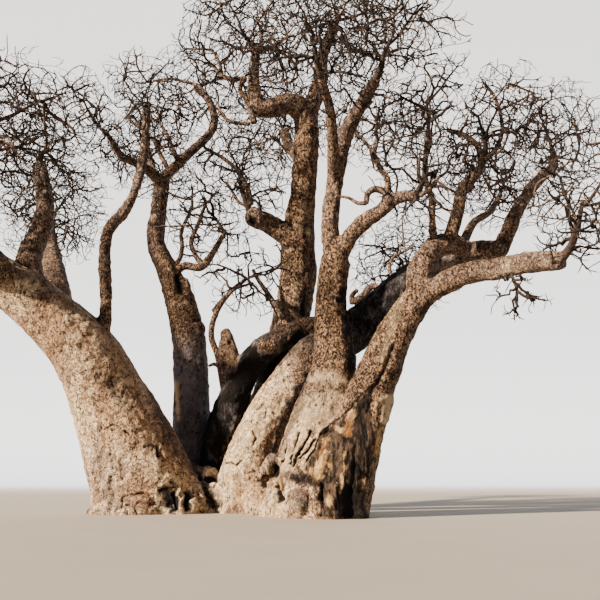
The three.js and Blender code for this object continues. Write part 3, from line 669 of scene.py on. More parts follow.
@dataclass
class Skin:
    """The bark's surface while it is worked on: its points, triangles and what each point looks like."""

    points: Array
    triangles: Array
    normals: Array
    tints: dict[str, Array]
    stands: Array

    @classmethod
    def from_mesh(cls, mesh: bpy.types.Mesh) -> "Skin":
        """Reads a mesh."""
        mesh.calc_loop_triangles()
        triangles = column(mesh.loop_triangles, "vertices", 3)
        points, normals = (column(mesh.vertices, name, 3).astype(float) for name in ("co", "normal"))
        return cls(points, triangles, normals, {}, np.zeros(len(points), int))

    def part(self, stand: int) -> "Skin":
        """The triangles whose first point belongs to one stand, with their own points."""
        triangles = self.triangles[self.stands[self.triangles].max(axis=1) == stand]
        used, places = np.unique(triangles, return_inverse=True)
        tints = {name: values[used] for name, values in self.tints.items()}
        return Skin(self.points[used], places.reshape(-1, 3), self.normals[used], tints, self.stands[used])

    def joined(self, other: "Skin") -> "Skin":
        """This skin and another as one."""
        return Skin(
            np.vstack([self.points, other.points]),
            np.vstack([self.triangles, other.triangles + len(self.points)]),
            np.vstack([self.normals, other.normals]),
            {name: np.concatenate([values, other.tints[name]]) for name, values in self.tints.items()},
            np.concatenate([self.stands, other.stands]),
        )

    def build(self, name: str) -> bpy.types.Object:
        """The skin as an object, with its tints as attributes and its own normals kept."""
        soup = Soup()
        soup.add(self.points, [self.triangles])
        mesh = soup.mesh(name)
        for tint, values in self.tints.items():
            layer = mesh.attributes.new(tint, "FLOAT", "POINT")
            layer.data.foreach_set("value", values.astype(np.float32))
        mesh.normals_split_custom_set_from_vertices(self.normals.tolist())
        return placed(name, mesh)


# The foot of each stem, up to this share of its way, is the trunk.
TRUNK_SHARES = {
    "stem_left": 0.3,
    "stem_slender": 0.24,
    "stem_arching": 0.3,
    "stem_tall": 0.22,
    "stem_crossing": 0.38,
    "stem_centre": 0.4,
    "stem_right": 0.5,
}

# How brown and flaky the bark is, how grey, and how much painted shade darkens it, at even places from a
# limb's foot to its tip.
# The grey of the low slender and arching stems, the tall stem's foot and the crossing stem's upper part and
# reach is partly painted shade.
BROWN_SHARES = {
    "stem_left": (0.0, 0.05, 0.15, 0.35),
    "stem_slender": (0.4, 0.9, 0.95, 0.95, 0.95),
    "stem_arching": (0.3, 0.6, 0.9, 0.95),
    "stem_tall": (0.85, 0.85, 0.8, 0.85, 1.0),
    "stem_crossing": (0.0, 0.05, 0.3, 0.9),
    "stem_centre": (0.0, 0.1, 0.42, 0.95, 1.0, 1.0),
    "stem_right": (0.25, 0.8, 1.0, 1.0),
    "bough_arching_stub": (0.3, 0.3, 0.4),
    "bough_left_outer": (0.45, 0.6, 0.7, 0.8),
    "bough_crossing_reach": (0.5, 0.5, 0.6, 0.7),
    "bough_right_level": (0.85, 0.7, 0.6, 0.7),
}
# Grey shares, partly painted shade
GREY_AND_SHADE_SHARES = {
    "stem_slender": (1, 1, 1, 1, 1, 0.95, 0.3, 0, 0, 0, 0.1, 0.2, 0.2, 0.2, 0.2, 0.2, 0.2),
    "stem_arching": (1, 1, 1, 1, 1, 1, 1, 1, 1, 0.9, 0.3, 0.1, 0),
    "stem_tall": (1, 0.2, 0, 0, 0),
    "stem_crossing": (0, 0, 0, 0, 0.2, 1),
    "bough_crossing_reach": (1, 1, 1, 0.8, 0.2, 0.2),
}
# The share of painted shade on each limb
PAINTED_SHADE_SHARES = {
    "stem_arching": (0.56, 0.64, 0.71, 0.75, 0.8, 0.85, 0.85, 0.85, 0.85, 0.8, 0.1, 0, 0),
    "stem_tall": (0.7, 0, 0, 0, 0),
    "stem_crossing": (0, 0, 0, 0, 0, 0.66),
    "bough_crossing_reach": (0.66, 0.68, 0.66, 0.5, 0.05, 0),
}
BOUGH_BROWN = (0.85, 0.95, 1.0)
BOUGH_GREY = (0.05, 0.15, 0.25)
SPRIG_LOOKS = (1.0, 0.2, 0.3)

# Each mark's line and width, then its lift and how dark it is, or its tints by name
MARKS = (
    # The broken stub at the crossing stem's foot: its body and open end, a painted shadow on its right side,
    # the wood beside it, the holes below
    Mark((274, 457, 270, 466, 266, 474), 0.18, brown=0.95, grey=0.3),
    Mark((260, 477, 264, 481), 0.21, -0.3, 1),
    Mark((276, 467, 275, 475), 0.12, -0.2, 1),
    Mark((267, 466, 270, 473), 0.06, 0.05, pale=0.8),
    Mark((280, 458, 284, 465, 284, 473), 0.05, 0.09, pale=0.9),
    Mark((281, 475, 278, 480), 0.11, 0.08, ochre=1),
    Mark((282, 480, 283, 490), 0.07, 0.08, ochre=1),
    Mark((272, 486, 279, 487), 0.08, -0.1, 0.95),
    Mark((278, 494, 280, 498), 0.16, -0.26, 1),
    Mark((290, 492, 289, 500, 286, 505), 0.04, -0.09, 0.8),
    Mark((268, 486, 265, 496, 264, 503), 0.05, -0.05, 0.35),
    # The smooth pale flank, and the deep fissures that run down it
    Mark((316, 402, 306, 422, 297, 442, 289, 460), 0.36, pale=0.8),
    Mark((329, 396, 322, 412, 314, 424), 0.4, pale=0.5),
    Mark((233, 440, 228, 470, 224, 500), 0.5, pale=0.6),
    Mark((245, 505, 265, 508, 285, 509), 0.4, pale=0.55),
    Mark((255, 415, 243, 440, 240, 465), 0.6, pale=0.45),
    Mark((289, 440, 286, 452, 282, 464), 0.045, -0.11, 1),
    Mark((299, 432, 295, 446, 289, 464), 0.05, -0.13, 1),
    Mark((311, 431, 303, 446, 297, 457, 292, 466), 0.05, -0.13, 1),
    Mark((316, 438, 308, 450, 300, 459), 0.04, -0.1, 0.9),
    Mark((284, 418, 278, 436, 274, 452), 0.04, -0.06, 0.4),
    Mark((308, 394, 314, 399, 309, 405, 315, 410), 0.04, -0.07, 0.6),
    Mark((318, 391, 331, 388, 341, 391), 0.04, -0.06, 0.5),
    # Holes and cracks low on the left stem, and the hollow beside its foot
    Mark((158, 446, 158.5, 455), 0.07, -0.14, 0.95),
    Mark((163, 460), 0.08, -0.09, 0.7),
    Mark((145, 447, 151, 444, 156, 448), 0.04, -0.06, 0.5),
    Mark((107, 428, 113, 424, 120, 427), 0.04, -0.06, 0.5),
    Mark((125, 431, 130, 435), 0.05, -0.07, 0.6),
    Mark((124, 496, 133, 495, 142, 493, 151, 495), 0.045, -0.08, 0.55),
    Mark((127, 505, 134, 504), 0.04, -0.06, 0.4),
    Mark((123, 498, 122, 507), 0.05, -0.07, 0.45),
    Mark((110, 480, 112, 497, 109, 510), 0.08, -0.09, 0.35),
    Mark((121, 461, 120, 470, 121, 480), 0.07, -0.06, 0.45),
    # Painted shade: the dappled darker lower left of the left stem, and the shaded band along its right side
    Mark((100, 462, 104, 484, 110, 508), 0.75, brown=0.35, grey=0.3),
    Mark((146, 372, 162, 412, 180, 447, 195, 470), 0.42, brown=0.75, grey=0.3),
    Mark((88, 372, 106, 381, 122, 394), 0.5, dark=0.2, brown=0.55),
    Mark((136, 501, 146, 500), 0.16, 0.07),
    Mark((168, 492, 170, 501, 172, 509), 0.22, -0.12, 0.62, grey=0.9),
    Mark((160, 491, 167, 488, 176, 487), 0.07, -0.12, 0.75),
    Mark((174, 492, 176, 500, 176, 508), 0.08, -0.12, 0.9),
    Mark((169, 496, 171, 509), 0.05, 0.09),
    Mark((178, 490, 177, 497, 180, 506), 0.055, 0.15, pale=0.7),
    Mark((180, 491, 183, 497, 181, 503), 0.05, 0.13, pale=0.6),
    Mark((186, 493, 187, 508), 0.13, -0.2, 0.88),
    Mark((192, 501, 194, 508), 0.17, 0.16, pale=0.5),
    Mark((189, 488, 193, 498), 0.045, 0.13, pale=0.6),
    Mark((194, 490, 197, 500), 0.045, 0.13, pale=0.6),
    # The shelf between the stems, with painted shade on its top and in the recess under it
    Mark((194, 467, 204, 466, 216, 468), 0.12, 0.12, brown=0.6),
    Mark((200, 474, 206, 486, 211, 498, 214, 506), 0.26, -0.16, 0.72, grey=0.8),
    Mark((206, 476, 214, 478), 0.16, -0.14, 0.9),
    Mark((203, 500, 207, 506), 0.06, 0.08, pale=0.5),
    # Cracks, a hole, and painted shade on the shaded side of the crossing stem
    Mark((225, 464, 231, 462, 236, 465, 242, 460), 0.04, -0.06, 0.85),
    Mark((233.5, 480), 0.05, -0.07, 0.8),
    Mark((304, 378, 298, 396, 289, 414, 280, 434, 272, 452), 0.36, dark=0.3, brown=1, grey=0.3),
    Mark((305, 382, 299, 396, 291, 412, 283, 430), 0.17, dark=0.5),
    Mark((276, 420, 266, 440, 258, 452), 0.3, dark=0.1, brown=0.7),
    Mark((252, 431, 256, 437, 253, 444), 0.05, -0.07, 0.8),
    Mark((248, 448, 254, 452), 0.05, -0.07, 0.7),
    Mark((247, 473, 256, 471, 266, 474), 0.04, -0.05, 0.4),
    Mark((264, 402, 259, 408), 0.05, -0.05, 0.6),
    # The right stem's swollen lip, with a painted shadow below it
    Mark((388, 399, 387, 412, 385, 421), 0.2, 0.1, pale=0.8),
    Mark((379, 426, 385, 425, 390, 422), 0.05, -0.07, 0.45),
    Mark((381, 428, 379, 440, 376, 452), 0.13, ochre=0.78),
    Mark((376, 404, 374, 418), 0.11, ochre=0.85),
    Mark((372, 452, 369, 478, 366, 505), 0.16, dark=0.2, brown=0.8),
    # Fresh wood, weathered wood and the near-black hollow at the foot
    Mark((351, 413, 350, 423, 348, 434), 0.17, ochre=0.95),
    Mark((335, 427, 341, 430), 0.12, ochre=0.85),
    Mark((325, 440, 321, 457, 318, 477), 0.3, 0.06, ochre=0.8),
    Mark((324, 447, 320, 465), 0.15, 0.04, ochre=1),
    Mark((345, 452, 344, 470, 342, 492), 0.09, 0.05, ochre=0.72),
    Mark((365, 478, 363, 490), 0.08, ochre=0.7),
    Mark((333, 438, 334, 456, 335, 476), 0.08, -0.04, 0.5),
    Mark((362, 398, 360, 425, 359, 465, 357, 492), 0.36, -0.05, 0.62),
    Mark((357, 440, 355, 475, 352, 490), 0.1, -0.06, 0.6),
    Mark((366, 402, 358, 404), 0.1, 0.12, 0.7),
    Mark((350, 492, 350, 512), 0.34, -0.14, 0.95),
    # Painted shadow in the gap between two of the foot's lobes and on the band above them
    Mark((321, 484, 320, 515), 0.08, -0.26, 1),
    Mark((290, 476, 302, 479, 314, 481), 0.24, -0.05, 0.66, brown=0.8, grey=0.2),
    Mark((294, 482, 302, 480, 308, 474), 0.03, -0.04, 0.6),
    Mark((299, 488, 307, 485), 0.03, -0.04, 0.6),
    # The centre stem's flaky shaft, and painted shade on its right side
    Mark((322, 298, 321, 335, 318, 366), 0.5, dark=0.14, brown=1),
    Mark((345, 290, 348, 320, 351, 345, 353, 370), 0.27, dark=0.75),
    Mark((312, 379, 328, 376, 341, 380), 0.2, pale=0.7),
    # The right stem: a smooth pale side, partly painted light, painted shadow in a crease between two folds,
    # and painted shade on its far side
    Mark((384, 358, 390, 335, 397, 308, 401, 292), 0.2, pale=0.22),
    Mark((413, 302, 403, 335, 393, 366), 0.36, dark=0.16),
    Mark((371, 392, 380, 378, 388, 361, 394, 345), 0.08, -0.09, 0.65),
    Mark((428, 310, 417, 337, 405, 366, 398, 392), 0.22, dark=0.5),
    # Painted shade on the underside of the arch and on the base of the tall stem
    Mark((300, 333, 288, 347, 276, 361, 262, 379), 0.25, dark=0.95),
    Mark((302, 300, 304, 314), 0.2, dark=0.85),
    # The rounded lobes that the foot ends in; their brown and grey are partly painted shade
    Mark((302, 501), 0.44, 0.18, brown=0.9, grey=0.3),
    Mark((330, 502, 334, 488), 0.24, 0.16, ochre=0.3, brown=0.9),
    Mark((361, 516), 0.22, 0.18, brown=0.6),
    # Painted shade in the slender stem's crotch, painted light on its fold and a painted lit strip on its
    # shaded foot, and the hole in the tall stem's broken side limb
    Mark((177, 271, 179, 281, 181, 291), 0.17, -0.16, 0.8),
    Mark((186, 266, 187, 278, 188, 288), 0.12, 0.12, pale=0.2),
    Mark((176, 382, 178, 400, 179, 418), 0.1, 0.06, pale=1, clear=1),
    Mark((250, 219, 253, 228, 259, 234), 0.19, -0.2, 0.95),
    Mark((258, 212, 262, 216), 0.16, 0.12, brown=1),
    Mark((262, 237, 268, 242), 0.15, 0.12, 0.5),
    # The arching stem's broken stub, and a tan patch where the arch's painted shade is taken away
    Mark((222, 333, 228, 338, 231, 344), 0.06, -0.08, 0.5),
    Mark((219, 344, 226, 345, 232, 341), 0.04, -0.05, 0.6),
    Mark((262, 346, 270, 347), 0.33, brown=0.8, clear=1),
)


@dataclass(frozen=True)
class Sprig:
    """A small crooked limb as the photograph shows it, under the name of its mass of twigs.

    Its way is given in pixels, x and y in turn, and its depth and radius in metres.
    """

    mass: str
    way: tuple[float, ...]
    depth: float
    radius: float
    tip_share: float = 0.55

    @property
    def limb(self) -> Limb:
        """The same as a limb in metres."""
        pixels = np.reshape(self.way, (-1, 2))
        radii = np.linspace(self.radius, self.tip_share * self.radius, len(pixels))
        stops = tuple((*VIEW.place_of(pixel, self.depth), radius) for pixel, radius in zip(pixels, radii))
        return Limb(f"sprig_{self.mass}", stops)


SPRIGS = (
    # Beside the slender stem and in its fork
    Sprig("slender_side", (173, 268, 180, 258, 182, 246, 181, 233, 187, 218, 192, 207, 192, 199), 2.8, 0.12),
    Sprig("slender_side", (192, 199, 186, 199, 176, 196, 166, 191), 2.8, 0.07),
    Sprig("slender_side", (189, 211, 198, 207, 206, 203, 219, 190), 2.8, 0.07),
    Sprig("slender_side", (202, 265, 196, 256, 191, 242, 197, 227, 201, 216, 206, 203), 2.4, 0.13),
    Sprig("slender_side", (203, 264, 208, 257, 213, 252), 2.4, 0.11),
    Sprig("slender_right", (206, 93, 198, 86, 187, 82, 170, 79, 154, 81), 3.2, 0.1),
    Sprig("slender_rear", (167, 167, 159, 152, 154, 141, 145, 131, 133, 123, 127, 116), 3.2, 0.12),
    Sprig("slender_rear", (177, 159, 171, 144, 165, 131, 157, 121, 150, 117, 146, 102), 3, 0.1),
    # Round the tall stem's broken side limb
    Sprig("tall_side", (253, 214, 246, 206, 239, 202, 232, 191, 226, 183), 1.9, 0.1),
    Sprig("tall_side", (251, 204, 248, 190, 241, 176, 233, 166, 223, 158, 205, 148), 1.7, 0.14),
    Sprig("tall_side", (283, 318, 276, 306, 266, 291, 259, 281, 253, 270), 1.7, 0.14),
    # Round the bent limb at the top
    Sprig("tall_top", (260, 106, 256, 90, 256, 76, 256, 62, 257, 50), 1, 0.2),
    Sprig("tall_top", (257, 52, 268, 48, 278, 43, 287, 37), 1, 0.13),
    Sprig("tall_top", (258, 52, 262, 34, 259, 25, 254, 20), 1, 0.09),
    Sprig("tall_top", (254, 122, 251, 112, 246, 99, 240, 89, 245, 79), 0.8, 0.17),
    Sprig("tall_top", (246, 79, 230, 79, 219, 74, 213, 65, 206, 63), 0.8, 0.12),
    Sprig("tall_top", (222, 75, 219, 62, 212, 51, 198, 49, 184, 49), 0.8, 0.08),
    Sprig("tall_top", (249, 124, 239, 123, 229, 121, 221, 112, 218, 103), 1, 0.1),
    # Hooks on the centre stem's right limb
    Sprig("centre_right", (390, 204, 389, 196, 383, 191, 375, 189, 368, 193, 366, 203), -5, 0.17, 0.6),
    Sprig("centre_right", (366, 203, 358, 203, 349, 198, 338, 196), -5, 0.09, 0.5),
    Sprig("centre_right", (421, 195, 430, 189, 437, 179, 447, 172), -5.6, 0.09),
    Sprig("centre_spur", (374, 152, 364, 141, 355, 131), -0.8, 0.09),
    # The right riser's fork and the level limb's end
    Sprig("right_riser", (481, 161, 478, 147, 468, 138, 457, 132, 448, 131), -4, 0.13),
    Sprig("right_riser", (484, 161, 495, 150, 502, 132, 500, 112, 493, 94, 484, 83), -4, 0.1),
    Sprig("right_riser", (499, 111, 511, 105, 523, 99, 533, 93), -4, 0.05),
    Sprig("right_level", (563, 259, 570, 251, 580, 246), -6.5, 0.12, 0.4),
    # Hooks on the crossing stem
    Sprig("crossing_rise", (354, 302, 363, 296, 371, 287, 377, 287, 381, 293), 1.4, 0.17, 0.7),
    Sprig("crossing_rise", (353, 303, 352, 296, 357, 290), 1.4, 0.15, 0.6),
    Sprig("arching_reach", (398, 283, 391, 274, 390, 263, 395, 256, 405, 251, 414, 246), 1.2, 0.09),
    Sprig("arching_reach", (405, 251, 403, 233, 402, 215), 1.2, 0.05),
    # On the arching stem's riser
    Sprig("arching_riser", (213, 311, 222, 300, 233, 290, 253, 283), 1.2, 0.09),
    Sprig("arching_riser", (220, 367, 214, 364, 209, 366), 1.4, 0.1, 0.6),
)


@dataclass(frozen=True)
class TornBark:
    """Where the bark has come away: wood shows inside an outline, under the torn edge of the bark.

    The outline and the edge are pixels, x and y in turn, and the other sizes are metres.
    """

    outline: tuple[float, ...]
    edge: tuple[float, ...]
    depth: float = 0.04
    reach: float = 0.7
    lip: float = 0.03
    lip_width: float = 0.07
    ridge: float = 0.07
    ragged: float = 1.2
    shadow: float = 0.9
    shadow_width: float = 0.055

    def read(self, points: Array, pixels: Array, scale: Array) -> tuple[Array, ...]:
        """What the tear does to the surface.

        Args:
            points: The surface's points.
            pixels: Where they show.
            scale: How many pixels a metre takes at each.

        Returns:
            How far each point is lifted, how much wood shows there, and how much painted shadow of the edge
            falls there.
        """
        closed = (*self.outline, *self.outline[:2])
        wander = np.stack([gradient_noise(points * 5, seed) for seed in (41, 42)], axis=1)
        ragged = pixels + self.ragged * wander
        within = inside(ragged, self.outline)
        rim = line_distance(ragged, closed) / scale
        from_edge = line_distance(ragged, self.edge) / scale
        wood = within * smooth_step(0.0, 0.12, rim)
        sink = self.depth * np.exp(-from_edge / self.reach) * within * smooth_step(0.0, 0.04, rim)
        uneven = 1 + 0.8 * gradient_noise(points * 2.3, 43)
        raise_edge = self.lip * uneven * ~within * np.exp(-((from_edge / (self.lip_width * uneven)) ** 2))
        stretched = points * np.array([4.2, 4.2, 0.55])
        ridges = self.ridge * wood * (np.abs(layered_noise(stretched, 51, 2)) - 0.35)
        # A painted shadow along the torn edge, on the wood under it
        shadow = within * self.shadow * np.exp(-((from_edge / self.shadow_width) ** 2))
        return raise_edge - sink + ridges, wood, shadow


TEAR = TornBark(
    outline=(
        374, 383, 368, 386, 362.5, 391.5, 355, 400.5, 349, 408.5, 341, 416, 334, 421.7, 323.6, 428.6,
        318, 437.5, 314, 449, 306, 460, 301, 470, 311, 478, 317, 490, 317, 518, 367, 521,
        368, 490, 373, 465, 377, 445, 374, 425, 372, 405,
    ),
    edge=(372, 383, 362.5, 391.5, 349, 408.5, 334, 421.7, 323.6, 428.6, 318, 437.5, 314, 449, 306, 460),
)


@dataclass
class Bark:
    """The bark of the trunk, the stems and the boughs, as one surface with relief, cut flat at the ground."""

    voxel: float = 0.07
    melted_radius: float = 0.3
    soften_turns: int = 3
    ring_step: float = 0.09
    fewest_sides: int = 18
    most_sides: int = 130
    fine_region: tuple[float, float, float, float] = (80.0, 395.0, 404.0, 522.0)
    bead_step: float = 0.25
    rows_at_once: int = 8192
    blend_sharpness: float = 12.0
    look_stray: float = 0.4
    hidden_share: float = 0.35
    marks_end: float = 3.4
    hollow_depth: float = 0.02
    scar_count: int = 46
    seed: int = 5
    tint_names: tuple[str, ...] = ("brown", "grey", "wood", "ochre", "dark", "pale", "crease")

    def __post_init__(self) -> None:
        """Reads the limbs' beads: where they are, how thick, which stand they belong to and their looks."""
        beads = []
        stand_order = list(Stand)
        for limb in LIMBS:
            sweep = Sweep(limb, self.bead_step)
            grey = BOUGH_GREY if limb.name.startswith("bough") else (0.0, 0.0)
            stops = (
                BROWN_SHARES.get(limb.name, BOUGH_BROWN),
                GREY_AND_SHADE_SHARES.get(limb.name, grey),
                PAINTED_SHADE_SHARES.get(limb.name, (0.0, 0.0)),
            )
            looks = [np.interp(sweep.shares, np.linspace(0, 1, len(own)), own) for own in stops]
            stands = np.full(len(sweep.points), stand_order.index(limb.stand))
            stands[sweep.shares < TRUNK_SHARES.get(limb.name, 0.0)] = stand_order.index(Stand.TRUNK)
            beads.append((sweep.points, sweep.radii, np.stack(looks, axis=1), stands))
        *measures, self.bead_stands = (np.concatenate(part) for part in zip(*beads))
        self.bead_places, self.bead_radii, self.bead_looks = (part.astype(np.float32) for part in measures)

    def nearest(self, points: Array) -> tuple[Array, Array]:
        """Which stand each point belongs to, and its brown, grey and painted-shade shares, blended where
        limbs meet.

        Args:
            points: One row per point.

        Returns:
            The stands as numbers, and the shares in three columns.
        """
        stands = np.empty(len(points), int)
        looks = np.empty((len(points), 3), np.float32)
        beads = self.bead_places
        for start in range(0, len(points), self.rows_at_once):
            some = slice(start, start + self.rows_at_once)
            chunk = points[some].astype(np.float32)
            squares = (chunk**2).sum(1)[:, None] + (beads**2).sum(1)[None] - 2 * chunk @ beads.T
            gaps = np.sqrt(np.maximum(squares, 0)) - self.bead_radii
            stands[some] = self.bead_stands[gaps.argmin(axis=1)]
            weights = np.exp(-self.blend_sharpness * (gaps - gaps.min(axis=1, keepdims=True)))
            looks[some] = weights @ self.bead_looks / weights.sum(axis=1, keepdims=True)
        return stands, looks

    def melted(self) -> bpy.types.Mesh:
        """The thick limbs and the collar's swellings, melted into one closed body."""
        soup = Soup()
        for number, limb in enumerate(LIMBS):
            widest = max(stop[3] for stop in limb.way)
            if limb.way[0][3] >= self.melted_radius:
                sides = int(2 * math.pi * widest / self.ring_step)
                sides = min(max(sides, self.fewest_sides), self.most_sides)
                soup.add(*limb_body(limb, self.ring_step, sides, Relief(seed=11 * number), 0.6))
        for swelling in SWELLINGS:
            soup.add(*swelling_body(swelling))
        body = placed("melt", soup.mesh("melt"))
        melt = body.modifiers.new("melt", "REMESH")
        melt.mode = "VOXEL"
        melt.voxel_size = self.voxel
        soften = body.modifiers.new("soften", "SMOOTH")
        soften.factor = 0.5
        soften.iterations = self.soften_turns
        mesh = bpy.data.meshes.new_from_object(body.evaluated_get(bpy.context.evaluated_depsgraph_get()))
        bpy.data.objects.remove(body)
        return mesh

    def refined(self, mesh: bpy.types.Mesh) -> None:
        """Splits the faces of the region that shows the torn bark, so that its edge comes out crisp."""
        centres, normals = (column(mesh.polygons, name, 3) for name in ("center", "normal"))
        pixels, _ = VIEW.project(centres)
        facing = VIEW.facing(centres, normals) > 0.1
        near = centres[:, 1] < 0.5
        within = (pixels > self.fine_region[:2]).all(axis=1) & (pixels < self.fine_region[2:]).all(axis=1)
        chosen = np.flatnonzero(within & facing & near)
        work = bmesh.new()
        work.from_mesh(mesh)
        work.faces.ensure_lookup_table()
        edges = {edge for index in chosen for edge in work.faces[index].edges}
        bmesh.ops.subdivide_edges(work, edges=list(edges), cuts=1, use_grid_fill=True)
        work.to_mesh(mesh)
        work.free()

    def relief(self, skin: Skin) -> Array:
        """How far each point is lifted, with the skin's tints set on the way.

        Args:
            skin: The melted surface.

        Returns:
            The lift of each point along its normal.
        """
        points, count = skin.points, len(skin.points)
        warp = np.stack([gradient_noise(points * 0.9, seed) for seed in (63, 65, 67)], axis=1)
        _, looks = self.nearest(points + self.look_stray * warp)
        tints = {name: np.zeros(count) for name in self.tint_names}
        # Grey and painted shade keep only the hidden share on the sides turned away from the camera
        in_view = self.hidden_share + (1 - self.hidden_share) * VIEW.facing(points, skin.normals, -0.6, -0.1)
        tints["brown"], tints["grey"] = looks[:, 0].astype(float), looks[:, 1] * in_view
        rise = np.maximum(points[:, 2], 0)
        lift = 0.05 * layered_noise(points * 0.9, 61, 3) + 0.034 * layered_noise(points * 3.4, 71, 2)
        gouges = 1 - np.minimum(np.abs(gradient_noise(points * np.array([1.9, 1.9, 1.3]), 75)) / 0.13, 1)
        gouges *= smooth_step(0.05, 0.3, gradient_noise(points * 0.8, 76))
        lift -= 0.05 * gouges
        lift += 0.05 * tints["brown"] * np.abs(gradient_noise(points * 3.6, 81))
        lift += 0.12 * np.exp(-rise / 0.9) * gradient_noise(points * np.array([1.5, 1.5, 0.4]), 91)
        lift += 0.05 * np.exp(-rise / 1.6) * gradient_noise(points * np.array([0.9, 0.9, 3.2]), 95)
        pixels, scale = VIEW.project(points)
        facing = VIEW.facing(points, skin.normals) * (points[:, 1] < self.marks_end)
        wander = [
            1.5 * gradient_noise(points * 2.1, seed) + 1.1 * gradient_noise(points * 6.5, seed + 1)
            for seed in (101, 105)
        ]
        strayed = pixels + np.stack(wander, axis=1)
        swell = 1 + 0.7 * gradient_noise(points * 3.0, 111)
        tear_lift, wood, shadow = TEAR.read(points, pixels, scale)
        lift += facing * tear_lift
        # The dark tint takes the tear's painted shadow and the limbs' painted shade shares
        tints["wood"], tints["dark"] = facing * wood, np.maximum(facing * shadow, looks[:, 2] * in_view)
        for mark in MARKS:
            gap = line_distance(strayed, mark.line) / scale / (mark.width * swell)
            share = facing * np.exp(-(gap**2.6))
            lift += mark.lift * share
            for name in ("dark", "grey"):
                tints[name] = tints[name] * (1 - mark.clear * share)
            for name in ("dark", "ochre", "pale", "brown", "grey"):
                tints[name] = np.maximum(tints[name], getattr(mark, name) * share)
        tints["dark"] = np.maximum(tints["dark"], 0.5 * gouges)
        self.scars(skin, lift, tints)
        skin.tints = tints
        return lift

    def scars(self, skin: Skin, lift: Array, tints: dict[str, Array]) -> None:
        """Adds healed knots all over: a ring of swollen bark round a dark hollow."""
        random = np.random.default_rng(self.seed)
        tree = KDTree(len(skin.points))
        for index, point in enumerate(skin.points):
            tree.insert(point, index)
        tree.balance()
        for index in random.choice(len(skin.points), self.scar_count, replace=False):
            size = random.uniform(0.08, 0.24)
            squash = random.uniform(0.6, 1.5)
            near = tree.find_range(skin.points[index], 3.6 * size)
            places = np.array([found[1] for found in near])
            away = skin.points[places] - skin.points[index]
            ragged = 1 + 0.5 * gradient_noise(skin.points[places] * 5, 121)
            gaps = np.linalg.norm(away * np.array([1, 1, squash]), axis=1) / (size * ragged)
            ring, hollow = np.exp(-(((gaps - 1.1) / 0.5) ** 2)), np.exp(-((gaps / 0.6) ** 2))
            lift[places] += size * (0.3 * ring - 0.45 * hollow)
            dark = random.uniform(0.3, 0.9)
            tints["dark"][places] = np.maximum(tints["dark"][places], dark * np.exp(-((gaps / 0.5) ** 2)))

    def cut(self, mesh: bpy.types.Mesh) -> None:
        """Cuts the body flat at the ground and closes the cut."""
        work = bmesh.new()
        work.from_mesh(mesh)
        whole, down = [*work.verts, *work.edges, *work.faces], (0, 0, -1)
        cut = bmesh.ops.bisect_plane(work, geom=whole, plane_co=(0, 0, 0), plane_no=down, clear_outer=True)
        rim = [part for part in cut["geom_cut"] if isinstance(part, bmesh.types.BMEdge)]
        bmesh.ops.triangle_fill(work, edges=rim, normal=down, use_beauty=True)
        work.to_mesh(mesh)
        work.free()

    def creases(self, skin: Skin) -> Array:
        """How hollow the surface is at each point, 0 to 1, spread a little to its neighbours, for the painted
        shade in hollows.
        """
        edges = np.vstack([skin.triangles[:, pair] for pair in ([0, 1], [1, 2], [2, 0])])
        ends, others = edges.T.ravel(), edges.T[::-1].ravel()
        count = np.maximum(np.bincount(ends, minlength=len(skin.points)), 1)

        def spread(values: Array) -> Array:
            """The mean over each point's neighbours."""
            return np.bincount(ends, values[others], minlength=len(values)) / count

        middle = skin.points
        for _ in range(3):
            middle = np.stack([spread(middle[:, axis]) for axis in range(3)], axis=1)
        sunk = np.einsum("ij,ij->i", middle - skin.points, skin.normals)
        return spread(spread(np.clip(sunk / self.hollow_depth, 0, 1)))

    def skin(self) -> Skin:
        """The finished surface of the thick limbs, with each point's stand and tints."""
        mesh = self.melted()
        LOG.info("melted bark: %d faces", len(mesh.polygons))
        self.refined(mesh)
        raw = Skin.from_mesh(mesh)
        lifted = raw.points + raw.normals * self.relief(raw)[:, None]
        mesh.vertices.foreach_set("co", lifted.astype(np.float32).ravel())
        for name, values in raw.tints.items():
            layer = mesh.attributes.new(name, "FLOAT", "POINT")
            layer.data.foreach_set("value", np.clip(values, 0, 1).astype(np.float32))
        self.cut(mesh)
        skin = Skin.from_mesh(mesh)
        for name in self.tint_names:
            skin.tints[name] = column(mesh.attributes[name].data, "value")
        skin.stands, _ = self.nearest(skin.points)
        skin.tints["crease"] = self.creases(skin)
        return skin

    def thin_skin(self, stand: Stand) -> Optional[Skin]:
        """The boughs of a stand that are too thin to melt into the body, or None."""
        soup = Soup()
        for number, limb in enumerate((*LIMBS, *(sprig.limb for sprig in SPRIGS))):
            if limb.stand is stand and limb.way[0][3] < self.melted_radius:
                relief = Relief(lobe_share=0.16, fold=0.03, wrinkle=0.02, seed=17 * number)
                is_sprig = limb.name.startswith("sprig")
                soup.add(*limb_body(limb, 0.1, 9 if is_sprig else 13, relief, 0.5), slot=int(is_sprig))
        if not soup.count:
            return None
        skin = Skin.from_mesh(soup.mesh("thin"))
        _, looks = self.nearest(skin.points)
        for rows, slots in zip(soup.faces, soup.slots):
            if slots[0]:
                looks[rows.ravel()] = SPRIG_LOOKS
        skin.tints = {name: np.zeros(len(skin.points)) for name in self.tint_names}
        skin.tints["brown"], skin.tints["grey"], skin.tints["dark"] = looks.T
        skin.tints["crease"] = self.creases(skin)
        return skin

